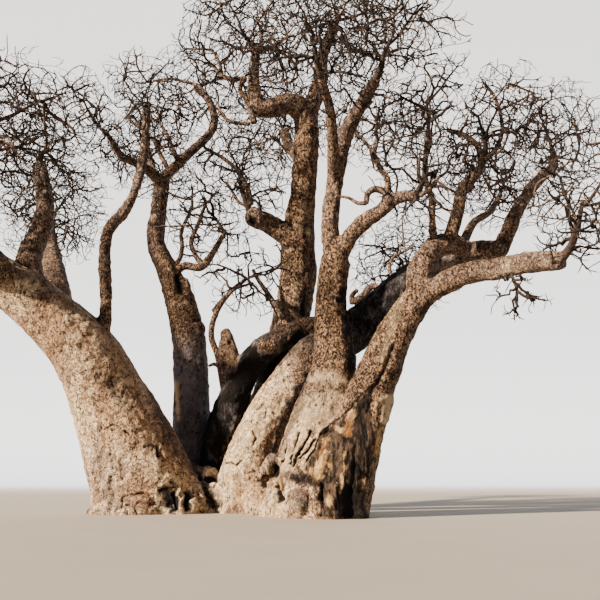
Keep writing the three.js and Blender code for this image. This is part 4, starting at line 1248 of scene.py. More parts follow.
    def build(self, finishes: dict[Slot, bpy.types.Material]) -> list[bpy.types.Object]:
        """Builds and dresses one piece for each stand.

        Args:
            finishes: The material of each slot.

        Returns:
            The pieces.
        """
        whole = self.skin()
        slots = {Stand.TRUNK: Slot.PALE, Stand.LEFT: Slot.PALE, Stand.CROSSING: Slot.PALE}
        slots |= {Stand.SLENDER: Slot.GREY, Stand.ARCHING: Slot.GREY}
        pieces = []
        for number, stand in enumerate(Stand):
            skin = whole.part(number)
            thin = self.thin_skin(stand)
            if thin is not None:
                skin = skin.joined(thin)
            piece = skin.build(f"bark_{stand.value}")
            slot = slots.get(stand, Slot.BROWN)
            piece.data.materials.append(finishes[slot])
            names = [limb.name for limb in LIMBS if limb.stand is stand]
            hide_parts(*(names if stand is not Stand.TRUNK else ["trunk"]))
            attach(piece, BODY)
            LOG.info("%s: %d triangles", piece.name, len(skin.triangles))
            pieces.append(piece)
        return pieces


@dataclass
class SourceRandom:
    """The random numbers that the part's own rule draws, from 0 to 1."""

    state: int

    def __call__(self) -> float:
        """The next number."""
        self.state = (self.state + 0x6D2B79F5) & 0xFFFFFFFF
        mixed = (self.state ^ self.state >> 15) * (1 | self.state) & 0xFFFFFFFF
        mixed = (mixed + ((mixed ^ mixed >> 7) * (61 | mixed) & 0xFFFFFFFF) & 0xFFFFFFFF) ^ mixed
        return (mixed ^ mixed >> 14) / 4294967296

    def offset(self) -> Array:
        """A vector with each part between -0.5 and 0.5."""
        return np.array([self() - 0.5, self() - 0.5, self() - 0.5])


@dataclass(frozen=True)
class Growth:
    """How one order of twigs finds its way towards free places. Lengths are metres."""

    targets_per_cubic: float
    step: float
    sight: float
    reached: float
    rounds: int
    momentum: float = 1.5
    curl: float = 0.3
    stray: float = 0.3
    droop: float = 0.12
    most_shoots: int = 2


@dataclass
class Sheaf:
    """Many twigs that have the same number of points and sides."""

    points: Array
    radii: Array
    sides: int

    def __len__(self) -> int:
        """How many twigs there are."""
        return len(self.points)

    def chosen(self, keep: Array) -> "Sheaf":
        """Only some of the twigs."""
        return Sheaf(self.points[keep], self.radii[keep], self.sides)

    def body(self) -> Body:
        """The twigs as closed tapering tubes, each ending in a point."""
        count, stops = self.points.shape[:2]
        tangents = unit(np.gradient(self.points, axis=1))
        chord = unit(self.points[:, -1] - self.points[:, 0])
        helper = np.where(np.abs(chord[:, 2:]) < 0.8, UP, np.array([1.0, 0, 0]))
        side = np.cross(chord, helper)[:, None]
        side = unit(side - tangents * (side * tangents).sum(-1, keepdims=True))
        across = np.cross(tangents, side)
        turns = np.linspace(0, 2 * math.pi, self.sides, endpoint=False)
        out = side[:, :, None] * np.cos(turns)[:, None] + across[:, :, None] * np.sin(turns)[:, None]
        rings = self.points[:, :-1, None] + out[:, :-1] * self.radii[:, :-1, None, None]
        own = (stops - 1) * self.sides + 1
        points = np.concatenate([rings.reshape(count, -1, 3), self.points[:, -1:]], axis=1)
        starts = (np.arange(count) * own)[:, None, None]
        turn = np.arange(self.sides)
        band = np.arange(stops - 2)[:, None] * self.sides
        low, following = (band + turn).ravel(), (band + np.roll(turn, -1)).ravel()
        quads = np.stack([low, following, following + self.sides, low + self.sides], axis=1)
        last = (stops - 2) * self.sides + turn
        tips = np.stack([last, np.roll(last, -1), np.full(self.sides, own - 1)], axis=1)
        root = turn[::-1][None]
        faces = [(rows[None] + starts).reshape(-1, rows.shape[1]) for rows in (quads, tips, root)]
        return points.reshape(-1, 3), faces


@dataclass
class Net:
    """The nodes of growing twigs. Each keeps its way on, the axis it curls round and its parent or -1."""

    places: Array
    ways: Array
    radii: Array
    axes: Array
    parents: Array
    shoots: Array

    @classmethod
    def rooted(
        cls, places: Array, ways: Array, radii: Array, random: np.random.Generator
    ) -> "Net":
        """A net of roots only, from their places, ways and radii."""
        count = len(places)
        axes = unit(random.normal(size=(count, 3)))
        return cls(places, ways, radii, axes, np.full(count, -1), np.zeros(count, int))

    def add(self, places: Array, ways: Array, parents: Array, axes: Array) -> None:
        """Adds nodes that grew from others."""
        grown = Net(places, ways, self.radii[parents], axes, parents, np.zeros(len(places), int))
        for name, values in vars(grown).items():
            setattr(self, name, np.concatenate([getattr(self, name), values]))

    def sheaves(
        self, tip_radius: float, pipe_power: float, classes: Sequence[int], thinning: float
    ) -> list[Sheaf]:
        """The net as tapering twigs, where the fuller shoot of each fork carries its twig on.

        Args:
            tip_radius: The radius near the tips.
            pipe_power: How a twig thickens with the number of tips that it carries.
            classes: The numbers of points that twigs may have.
            thinning: How many points a twig keeps for each of its nodes.

        Returns:
            The twigs, those with the same number of points together.
        """
        count = len(self.places)
        load, heavy = np.zeros(count), np.full(count, -1)
        parents = self.parents.tolist()
        for node in range(count - 1, -1, -1):
            parent = parents[node]
            if parent < 0:
                continue
            load[node] = max(load[node], 1)
            load[parent] += load[node]
            if heavy[parent] < 0 or load[node] > load[heavy[parent]]:
                heavy[parent] = node
        inner = np.flatnonzero((self.parents >= 0) & (heavy >= 0))
        smooth = self.places.copy()
        before, after = self.places[self.parents[inner]], self.places[heavy[inner]]
        smooth[inner] += 0.25 * (before + after - 2 * self.places[inner])
        radii = np.minimum(tip_radius * np.maximum(load, 1) ** (1 / pipe_power), 0.8 * self.radii)
        found: dict[int, list[tuple[Array, Array]]] = {size: [] for size in classes}
        for node in np.flatnonzero(self.parents >= 0):
            parent = parents[node]
            if parents[parent] >= 0 and heavy[parent] == node:
                continue
            chain = [parent, node]
            while heavy[chain[-1]] >= 0:
                chain.append(heavy[chain[-1]])
            size = next((size for size in classes if size >= thinning * len(chain) + 1.5), classes[-1])
            shares, even = np.linspace(0, 1, len(chain)), np.linspace(0, 1, size)
            way = np.stack([np.interp(even, shares, smooth[chain][:, axis]) for axis in range(3)], axis=1)
            chain[0] = node
            found[size].append((way, np.interp(even, shares, radii[chain])))
        sheaves = []
        for twigs in filter(None, found.values()):
            ways, thick = (np.array(part) for part in zip(*twigs))
            stout = thick[:, 0] > 2 * tip_radius
            sheaves += [Sheaf(ways[some], thick[some], sides) for some, sides in ((stout, 4), (~stout, 3))]
        return [sheaf for sheaf in sheaves if len(sheaf)]


# How full the masses are that are sparser or fuller than the rest
FULLNESS = {
    "twigs_arching_riser": 0.33,
    "twigs_right_low": 0.4,
    "twigs_centre_spur": 0.8,
    "twigs_slender_side": 1.15,
}


@dataclass
class Crown:
    """The bare twigs. Main ones follow the part's own rule, and finer ones grow on in the same reach."""

    box: tuple[Sequence[float], Sequence[float]]
    bead_step: float = 0.18
    sprig_step: float = 0.25
    first_seed: int = 11
    source_leaders: int = 7
    bow_place: float = 0.45
    bow_lead: float = 0.16
    kink: float = 0.1
    deepest: float = 0.97
    pull_backs: tuple[float, ...] = (1, 0.8, 0.62, 0.46)
    stem_most: float = 0.16
    leader_radius: float = 0.055
    side_radius: float = 0.03
    clearance: float = 0.03
    edge_margin: float = 0.03
    most_proud: float = 0.18
    leader_stops: int = 9
    leader_start: float = 0.08
    leader_tip: float = 0.02
    crook: float = 0.17
    tip_radius: float = 0.019
    pipe_power: float = 2.0
    twig_sizes: tuple[int, ...] = (3, 4, 5, 7, 10, 15)
    thinning: float = 0.57
    tone_shares: tuple[float, ...] = (0.66, 0.25, 0.09)
    sprout_share: float = 0.3
    sprout_most: float = 0.5
    orders: tuple[Growth, ...] = (
        Growth(9.8, 0.19, 2.2, 0.27, 60),
        Growth(32.0, 0.165, 0.75, 0.17, 10, momentum=1.0, curl=0.25),
    )

    def __post_init__(self) -> None:
        """Reads the limbs' beads, which twigs keep clear of."""
        sweeps = [Sweep(limb, self.bead_step) for limb in LIMBS]
        beads = [(sweep.points, sweep.tangents, sweep.radii) for sweep in sweeps]
        self.bead_places, self.bead_ways, self.bead_radii = (np.concatenate(part) for part in zip(*beads))
        stands = [[sweep.limb.stand.value] * len(sweep.points) for sweep in sweeps]
        self.bead_stands = np.concatenate(stands)
        self.limbs = {limb.name: limb for limb in LIMBS}
        self.sprigs: dict[str, list[Sweep]] = {}
        for sprig in SPRIGS:
            self.sprigs.setdefault(f"twigs_{sprig.mass}", []).append(Sweep(sprig.limb, self.sprig_step))

    def depth(self, mass: Mass, points: Array) -> Array:
        """How far points lie from a mass's centre, where 1 is the edge of its space."""
        return np.linalg.norm((points - np.array(mass.centre)) / np.array(mass.reach), axis=-1)

    def free(self, mass: Mass, points: Array, margin: float) -> Array:
        """Which points lie in the mass's own space and clear of every limb by a margin."""
        own = self.depth(mass, points)
        low, high = (np.array(corner) for corner in self.box)
        good = own <= 1
        good &= (points > low - self.most_proud).all(axis=-1) & (points < high + self.most_proud).all(axis=-1)
        for other in MASSES:
            if other is not mass:
                good &= self.depth(other, points) >= own + self.edge_margin
        middle, reach = np.array(mass.centre), np.array(mass.reach)
        near = (np.abs(self.bead_places - middle) < reach + self.bead_radii[:, None] + 0.2).all(axis=1)
        for place, bead_radius in zip(self.bead_places[near], self.bead_radii[near]):
            good &= ((points - place) ** 2).sum(axis=-1) >= (bead_radius + margin) ** 2
        return good

    def fits(self, mass: Mass, twigs: Array, radius: float) -> Array:
        """Which twigs stay in the mass's own space and clear of every limb.

        Args:
            mass: The mass.
            twigs: One row of points per twig.
            radius: The twigs' radius.

        Returns:
            One truth value per twig.
        """
        tested = np.concatenate([(twigs[:, :-1] + twigs[:, 1:]) / 2, twigs[:, 1:]], axis=1)
        return self.free(mass, tested, radius + self.clearance).all(axis=1)

    def source_twig(
        self, root: Array, end: Array, lead: Array, kinks: Sequence[Array]
    ) -> Array:
        """A twig's points by the part's own rule: a bow, pulled along a lead direction, with small kinks."""
        length = np.linalg.norm(end - root)
        bow = root + (end - root) * self.bow_place + lead * self.bow_lead * length
        share = np.linspace(0, 1, len(kinks) + 2)[:, None]
        points = root * (1 - share) ** 2 + bow * 2 * share * (1 - share) + end * share**2
        for index, kink in enumerate(kinks):
            points[index + 1] += kink * self.kink * length
        return points

    def source_rule(self, mass: Mass, number: int) -> tuple[Limb, list[Array], list[Array]]:
        """The main stem, the leaders and the side twigs that the part itself has.

        Args:
            mass: The mass.
            number: Its place in the list of masses, which fixes its seed.

        Returns:
            The main stem as a limb, the leaders' points and the side twigs' points.
        """
        random = SourceRandom(self.first_seed + number)
        centre, reach = np.array(mass.centre), np.array(mass.reach)
        way = np.array(self.limbs[mass.from_bough].way)
        curve = Curve(way[:, :3])
        at = np.array([mass.share or 1.0])
        root = curve.at(at)[0]
        lead = unit(centre - root) if mass.share else curve.tangents(at)[0]
        thick = self.leader_radius if mass.share else min(0.8 * way[-1, 3], self.stem_most)
        stem_points = self.source_twig(root, centre, lead, [random.offset(), random.offset()])
        stem_curve = Curve(stem_points)
        radii = np.linspace(thick, self.leader_radius, 4)
        stem = Limb(mass.name, tuple(map(tuple, np.column_stack([stem_points, radii]))))
        first_turn = 2 * math.pi * random()
        leaders, sides = [], []
        for leader in range(self.source_leaders):
            height = 1 - (2 * leader + 1) / self.source_leaders
            turn = first_turn + GOLDEN_TURN * leader
            around = math.sqrt(1 - height * height)
            outward = np.array([around * math.cos(turn), around * math.sin(turn), height])
            reach_share = 0.9 + 0.08 * random()
            share = np.array([0.3 + 0.67 * (1 + outward @ lead) / 2])
            root, along = stem_curve.at(share)[0], stem_curve.tangents(share)[0]
            kinks = [random.offset()]
            ends = [outward * reach * reach_share * pull_back + centre for pull_back in self.pull_backs]
            tries = np.array([self.source_twig(root, end, along, kinks) for end in ends])
            fitting = np.flatnonzero(self.fits(mass, tries, self.leader_radius))
            points = tries[fitting[0] if len(fitting) else 0]
            leaders.append(points)
            advance = points[2] - points[0]
            start = points[1] + (points[2] - points[1]) * 0.3 * random()
            end = start + unit(random.offset()) * reach * 0.55 + advance * 0.35
            depth = self.depth(mass, end)
            if depth > self.deepest:
                end = (end - centre) * self.deepest / depth + centre
            sides.append(self.source_twig(start, end, unit(advance), []))
        return stem, leaders, sides

    def leaders(self, mass: Mass, source: Sequence[Array], random: np.random.Generator) -> Sheaf:
        """The part's own leaders and side twigs, drawn finer and crooked.

        Args:
            mass: The mass.
            source: The points of the part's own twigs, two or three for each.
            random: Where their crooks come from.

        Returns:
            Those that fit.
        """
        shares = np.linspace(0, 1, self.leader_stops)
        straight = [own[0] + (own[-1] - own[0]) * shares[:, None] for own in source]
        pairs = zip(source, straight)
        points = np.array([Curve(own).at(shares) if len(own) > 2 else line for own, line in pairs])
        crooks = random.uniform(-0.5, 0.5, points.shape) * self.crook
        crooks[:, [0, -1]] = 0
        points = points + crooks
        taper = np.linspace(self.leader_start, self.leader_tip, self.leader_stops)
        sheaf = Sheaf(points, taper[None] * random.uniform(0.6, 1.0, (len(points), 1)), 5)
        return sheaf.chosen(self.fits(mass, points[:, 1:], self.side_radius))

    def roots(self, mass: Mass, leaders: Sheaf, random: np.random.Generator) -> Net:
        """Where a mass's fine twigs may start: on its leaders, on small limbs and here and there on boughs.

        Args:
            mass: The mass.
            leaders: Its leaders.
            random: Where the boughs' sprouts come from.

        Returns:
            The roots as a net.
        """
        ways = unit(np.gradient(leaders.points, axis=1))[:, 1:].reshape(-1, 3)
        found = [(leaders.points[:, 1:].reshape(-1, 3), ways, leaders.radii[:, 1:].ravel())]
        for sweep in self.sprigs.get(mass.name, []):
            found.append((sweep.points[1:], sweep.tangents[1:], sweep.radii[1:]))
        own = (self.bead_stands == mass.stand.value) & (self.bead_radii < self.sprout_most)
        own &= self.depth(mass, self.bead_places) < 0.95
        own &= random.uniform(size=len(own)) < self.sprout_share
        out = unit(np.cross(self.bead_ways[own], random.normal(size=(own.sum(), 3))))
        places = self.bead_places[own] + out * 0.85 * self.bead_radii[own, None]
        radii = np.minimum(self.bead_radii[own], self.leader_radius)
        found.append((places, unit(out + 0.5 * self.bead_ways[own]), radii))
        return Net.rooted(*(np.concatenate(part) for part in zip(*found)), random)

    def targets(self, mass: Mass, growth: Growth, random: np.random.Generator) -> Array:
        """Free places for twigs to grow to, thinner towards the edge of the mass and in patches inside it."""
        centre, reach = np.array(mass.centre), np.array(mass.reach)
        fullness = FULLNESS.get(mass.name, 1.0)
        count = round(fullness * growth.targets_per_cubic * 4 / 3 * math.pi * np.prod(reach))
        ball = unit(random.normal(size=(count, 3))) * random.uniform(0, 1, (count, 1)) ** (1 / 3)
        places = centre + ball * reach
        patch = gradient_noise(places * 0.55, 3)
        edge = 0.84 + 0.14 * gradient_noise(places * 0.9, 4) + 0.08 * random.uniform(-1, 1, count)
        keep = (self.depth(mass, places) < edge) & (patch > random.uniform(-0.9, 0.1, count))
        keep |= self.depth(mass, places) > 0.985
        return places[keep & self.free(mass, places, 0.1)]

    def spread(self, mass: Mass, net: Net, growth: Growth, random: np.random.Generator) -> None:
        """Lets a net grow, step by step, from its nodes towards free places.

        Args:
            mass: The mass whose space it keeps to.
            net: The net, which gets new nodes.
            growth: How it grows.
            random: Where its strays come from.
        """
        targets = self.targets(mass, growth, random)
        gaps, nearest = np.full(len(targets), np.inf), np.zeros(len(targets), int)
        fresh = np.arange(len(net.places))
        first_new = len(net.places)
        for _ in range(growth.rounds):
            away = np.linalg.norm(targets[:, None] - net.places[fresh][None], axis=2)
            closest = away.argmin(axis=1)
            nearer = away[np.arange(len(targets)), closest] < gaps
            gaps[nearer] = away[nearer, closest[nearer]]
            nearest[nearer] = fresh[closest[nearer]]
            open_still = gaps > growth.reached
            targets, gaps, nearest = targets[open_still], gaps[open_still], nearest[open_still]
            seen = (gaps < growth.sight) & (net.shoots[nearest] < growth.most_shoots)
            if not seen.any():
                return
            growing, which = np.unique(nearest[seen], return_inverse=True)
            pull = np.zeros((len(growing), 3))
            np.add.at(pull, which, unit(targets[seen] - net.places[nearest[seen]]))
            turned = net.ways[growing] + growth.curl * np.cross(net.axes[growing], net.ways[growing])
            push = np.where(net.shoots[growing] + (growing < first_new) > 0, 0.4, growth.momentum)[:, None]
            stray = growth.stray * random.normal(size=pull.shape)
            ways = unit(unit(pull) + push * turned + stray - growth.droop * UP)
            places = net.places[growing] + growth.step * ways
            net.shoots[growing] += 1
            good = self.free(mass, places, self.clearance)
            axes = np.where(push < growth.momentum, unit(random.normal(size=pull.shape)), net.axes[growing])
            fresh = np.arange(good.sum()) + len(net.places)
            net.add(places[good], ways[good], growing[good], axes[good])
            if not len(fresh):
                return

    def grow(self, mass: Mass, number: int, soup: Soup) -> int:
        """Grows one mass into a soup of bodies.

        Args:
            mass: The mass.
            number: Its place in the list of masses.
            soup: Where its bodies go.

        Returns:
            How many twigs it got.
        """
        random = np.random.default_rng(100 + number)
        stem, source_leaders, source_sides = self.source_rule(mass, number)
        relief = Relief(lobe_share=0.1, fold=0.015, wrinkle=0.01, seed=number)
        soup.add(*limb_body(stem, 0.1, 10, relief, 0.4), slot=1)
        leaders = self.leaders(mass, [*source_leaders, *source_sides], random)
        net = self.roots(mass, leaders, random)
        for growth in self.orders:
            self.spread(mass, net, growth, random)
        total = 0
        fine = net.sheaves(self.tip_radius, self.pipe_power, self.twig_sizes, self.thinning)
        for sheaf in (leaders, *fine):
            tones = random.choice(len(self.tone_shares), len(sheaf), p=self.tone_shares)
            for tone in range(len(self.tone_shares)):
                some = sheaf.chosen(tones == tone)
                if len(some):
                    soup.add(*some.body(), slot=tone)
            total += len(sheaf)
        return total

    def build(self, tones: Sequence[bpy.types.Material]) -> list[bpy.types.Object]:
        """Builds and dresses one piece of crown for each stand.

        Args:
            tones: The finishes that the twigs share out.

        Returns:
            The pieces.
        """
        pieces = []
        for stand in Stand:
            masses = [(number, mass) for number, mass in enumerate(MASSES) if mass.stand is stand]
            if not masses:
                continue
            soup = Soup()
            total = sum(self.grow(mass, number, soup) for number, mass in masses)
            piece = placed(f"crown_{stand.value}", soup.mesh(f"crown_{stand.value}"))
            for material in tones:
                piece.data.materials.append(material)
            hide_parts(*(mass.name for _, mass in masses))
            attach(piece, BODY)
            piece.data.calc_loop_triangles()
            LOG.info("%s: %d twigs, %d triangles", piece.name, total, len(piece.data.loop_triangles))
            pieces.append(piece)
        return pieces


def linear(code: str) -> tuple[float, float, float, float]:
    """A colour written as six hexadecimal digits, as the renderer's linear colour."""
    parts = [part / 255 for part in bytes.fromhex(code)]
    return (*(part / 12.92 if part <= 0.04045 else ((part + 0.055) / 1.055) ** 2.4 for part in parts), 1.0)


@dataclass(frozen=True)
class Value:
    """What a node puts out. Numbers take part in sums as plain numbers do."""

    graph: "Graph"
    socket: bpy.types.NodeSocket

    def __add__(self, other: object) -> "Value":
        """The sum."""
        return self.graph.maths("ADD", self, other)

    def __sub__(self, other: object) -> "Value":
        """The difference."""
        return self.graph.maths("SUBTRACT", self, other)

    def __rsub__(self, other: float) -> "Value":
        """The difference from a plain number."""
        return self.graph.maths("SUBTRACT", other, self)

    def __mul__(self, other: object) -> "Value":
        """The product."""
        return self.graph.maths("MULTIPLY", self, other)

    def __truediv__(self, other: object) -> "Value":
        """The quotient."""
        return self.graph.maths("DIVIDE", self, other)

    @property
    def clamped(self) -> "Value":
        """The same, kept from 0 to 1 by its node."""
        self.socket.node.use_clamp = True
        return self


@dataclass
class Graph:
    """A node tree while it is being wired."""

    tree: bpy.types.NodeTree

    def node(self, kind: str, inputs: Optional[dict] = None, **settings: object) -> bpy.types.Node:
        """A new node.

        Args:
            kind: Its type.
            inputs: What goes into its sockets, by name or number.
            settings: Its own settings.

        Returns:
            The node.
        """
        made = self.tree.nodes.new(kind)
        for name, value in settings.items():
            setattr(made, name, value)
        for name, value in (inputs or {}).items():
            self.put(made.inputs[name], value)
        return made

    def put(self, socket: bpy.types.NodeSocket, value: object) -> None:
        """Links a socket to a node's value, or sets it to a number, a vector or a colour."""
        if isinstance(value, Value):
            self.tree.links.new(value.socket, socket)
        else:
            socket.default_value = linear(value) if isinstance(value, str) else value

    def maths(self, operation: str, first: object, second: object) -> Value:
        """The result of a sum on two values."""
        return Value(self, self.node("ShaderNodeMath", {0: first, 1: second}, operation=operation).outputs[0])

    def blend(self, share: object, first: object, second: object) -> Value:
        """Two colours mixed by a share."""
        given = {"Factor": share, 6: first, 7: second}
        return Value(self, self.node("ShaderNodeMix", given, data_type="RGBA").outputs[2])

    def step(self, value: object, low: float, high: float) -> Value:
        """A soft step from 0 at low to 1 at high."""
        given = {"Value": value, "From Min": low, "From Max": high}
        made = self.node("ShaderNodeMapRange", interpolation_type="SMOOTHSTEP", inputs=given)
        return Value(self, made.outputs["Result"])

    def noise(self, vector: object, scale: object, detail: float, rough: float = 0.6) -> Value:
        """Layered noise, 0 to 1."""
        given = {"Vector": vector, "Scale": scale, "Detail": detail, "Roughness": rough}
        return Value(self, self.node("ShaderNodeTexNoise", given).outputs["Fac"])

    def strayed(self, vector: object, scale: object, amount: float) -> Value:
        """A vector that noise moves a little, so that what follows it has ragged edges."""
        warp = self.node("ShaderNodeTexNoise", {"Vector": vector, "Scale": scale, "Detail": 3.0})
        given = {0: Value(self, warp.outputs["Color"]), 1: (amount, amount, amount), 2: vector}
        return Value(self, self.node("ShaderNodeVectorMath", given, operation="MULTIPLY_ADD").outputs[0])

    def stretch(self, vector: object, scale: tuple[float, float, float]) -> Value:
        """A vector scaled along each axis."""
        made = self.node("ShaderNodeVectorMath", {0: vector, 1: scale}, operation="MULTIPLY")
        return Value(self, made.outputs[0])

    def place(self) -> Value:
        """The place on the object."""
        return Value(self, self.node("ShaderNodeTexCoord").outputs["Object"])

    def tint(self, name: str) -> Value:
        """A share that the mesh holds at each point."""
        return Value(self, self.node("ShaderNodeAttribute", attribute_name=name).outputs["Fac"])

    def bump(self, height: Value, strength: float, distance: float) -> Value:
        """The surface's normal over a height."""
        given = {"Strength": strength, "Distance": distance, "Height": height}
        return Value(self, self.node("ShaderNodeBump", given).outputs["Normal"])

    def effect(self, kind: "Effect", vector: Value, **values: float) -> dict[str, Value]:
        """Places a node group.

        Args:
            kind: The group.
            vector: What goes into its Vector input.
            values: What goes into its other inputs, by name.

        Returns:
            What it puts out, by name.
        """
        made = self.node("ShaderNodeGroup", node_tree=bpy.data.node_groups[kind.value])
        for name, value in {"Vector": vector, **values}.items():
            self.put(made.inputs[name], value)
        return {socket.name: Value(self, socket) for socket in made.outputs}


class Effect(Enum):
    """The shader node groups, by name."""

    MOTTLE = "bark mottle"
    GOUGES = "bark gouges"
    CREASES = "bark creases"
    PITS = "bark pits"
    FIBRE = "wood fibre"


class EffectGroup(Graph):
    """A node group while it is being wired, with a vector input and number inputs."""

    def __init__(self, effect: Effect, *inputs: str) -> None:
        """Makes the group for an effect, with number inputs of the given names."""
        super().__init__(bpy.data.node_groups.new(effect.value, "ShaderNodeTree"))
        self.tree.interface.new_socket("Vector", in_out="INPUT", socket_type="NodeSocketVector")
        for name in inputs:
            self.tree.interface.new_socket(name, in_out="INPUT", socket_type="NodeSocketFloat")
        self.given = {socket.name: Value(self, socket) for socket in self.node("NodeGroupInput").outputs}

    def give(self, **results: Value) -> None:
        """Makes the group's outputs and links them, by name."""
        for name in results:
            self.tree.interface.new_socket(name, in_out="OUTPUT", socket_type="NodeSocketFloat")
        self.node("NodeGroupOutput", results)


def mottle_group() -> None:
    """Soft patches with ragged edges, smaller flecks, and a height that follows them."""
    group = EffectGroup(Effect.MOTTLE, "Scale")
    scale = group.given["Scale"]
    strayed = group.strayed(group.given["Vector"], scale, 0.35)
    patch = group.noise(strayed, scale, 8.0, 0.66)
    fine = group.noise(strayed, scale * 5.0, 6.0, 0.68)
    patches, flecks = group.step(patch, 0.42, 0.6), group.step(fine, 0.46, 0.55)
    group.give(Patch=patches, Fleck=flecks, Height=patch + fine * 0.45)


def gouges_group() -> None:
    """Short crooked cracks and gouges that come and go, with a height that sinks in them."""
    group = EffectGroup(Effect.GOUGES, "Scale", "Width", "Share")
    scale = group.given["Scale"]
    strayed = group.strayed(group.given["Vector"], scale * 1.7, 0.3)
    wave = group.noise(strayed, scale, 3.0, 0.55)
    away = group.maths("ABSOLUTE", wave - 0.5, 0.0) / group.given["Width"]
    line = 1.0 - group.step(away, 0.15, 1.0)
    patch = group.noise(strayed, scale * 1.3, 3.0)
    some = ((patch - (0.72 - group.given["Share"] * 0.44)) / 0.07).clamped
    mask = line * some
    group.give(Mask=mask, Height=1.0 - mask)


def creases_group() -> None:
    """A net of crooked skin creases, of which only some stretches show."""
    group = EffectGroup(Effect.CREASES, "Scale", "Width", "Share")
    scale = group.given["Scale"]
    strayed = group.strayed(group.given["Vector"], scale * 0.8, 0.3)
    net = group.node("ShaderNodeTexVoronoi", {"Vector": strayed, "Scale": scale}, feature="DISTANCE_TO_EDGE")
    line = (1.0 - Value(group, net.outputs["Distance"]) / group.given["Width"]).clamped
    patch = group.noise(strayed, scale * 0.9, 3.0)
    some = ((patch - (0.72 - group.given["Share"] * 0.34)) / 0.1).clamped
    mask = line * some
    group.give(Mask=mask, Height=1.0 - mask)


def pits_group() -> None:
    """Small pits of uneven size and ragged outline. Only some places have one."""
    group = EffectGroup(Effect.PITS, "Scale", "Size", "Share")
    scale, vector = group.given["Scale"], group.given["Vector"]
    strayed = group.strayed(vector, scale * 2.2, 0.12)
    cells = group.node("ShaderNodeTexVoronoi", {"Vector": strayed, "Scale": scale})
    own = group.node("ShaderNodeSeparateColor", {0: Value(group, cells.outputs["Color"])})
    size = group.given["Size"] * (Value(group, own.outputs[0]) + 0.3)
    crowd = group.noise(vector, scale * 0.16, 2.0)
    share = group.given["Share"] * group.step(crowd, 0.4, 0.6)
    some = group.maths("LESS_THAN", Value(group, own.outputs[1]), share)
    depth = (1.0 - Value(group, cells.outputs["Distance"]) / size).clamped
    mask = group.step(depth, 0.0, 0.5) * some
    group.give(Mask=mask, Height=1.0 - mask)


def fibre_group() -> None:
    """Long upright fibres: their shade and their height."""
    group = EffectGroup(Effect.FIBRE, "Scale")
    scale = group.given["Scale"]
    strayed = group.strayed(group.given["Vector"], 1.5, 0.25)
    fine = group.noise(group.stretch(strayed, (1.0, 1.0, 0.24)), scale, 7.0, 0.62)
    broad = group.noise(group.stretch(strayed, (1.0, 1.0, 0.35)), scale * 0.25, 5.0)
    both = fine * 0.6 + broad * 0.6
    group.give(Shade=group.step(both, 0.5, 0.7), Height=both)


@dataclass(frozen=True)
class Finish:
    """What the bark's and the twigs' finishes share."""

    name: str
    roughness: float
    gloss: float

    def dress(self, graph: Graph) -> tuple[Value, object, Value]:
        """Wires the colour, the roughness and the normal."""
        raise NotImplementedError

    def build(self) -> bpy.types.Material:
        """The material."""
        material = bpy.data.materials.new(self.name)
        material.use_nodes = True
        material.node_tree.nodes.clear()
        graph = Graph(material.node_tree)
        colour, roughness, normal = self.dress(graph)
        given = {"Base Color": colour, "Roughness": roughness, "Normal": normal}
        shader = graph.node("ShaderNodeBsdfPrincipled", {**given, "Specular IOR Level": self.gloss})
        graph.node("ShaderNodeOutputMaterial", {"Surface": Value(graph, shader.outputs["BSDF"])})
        return material


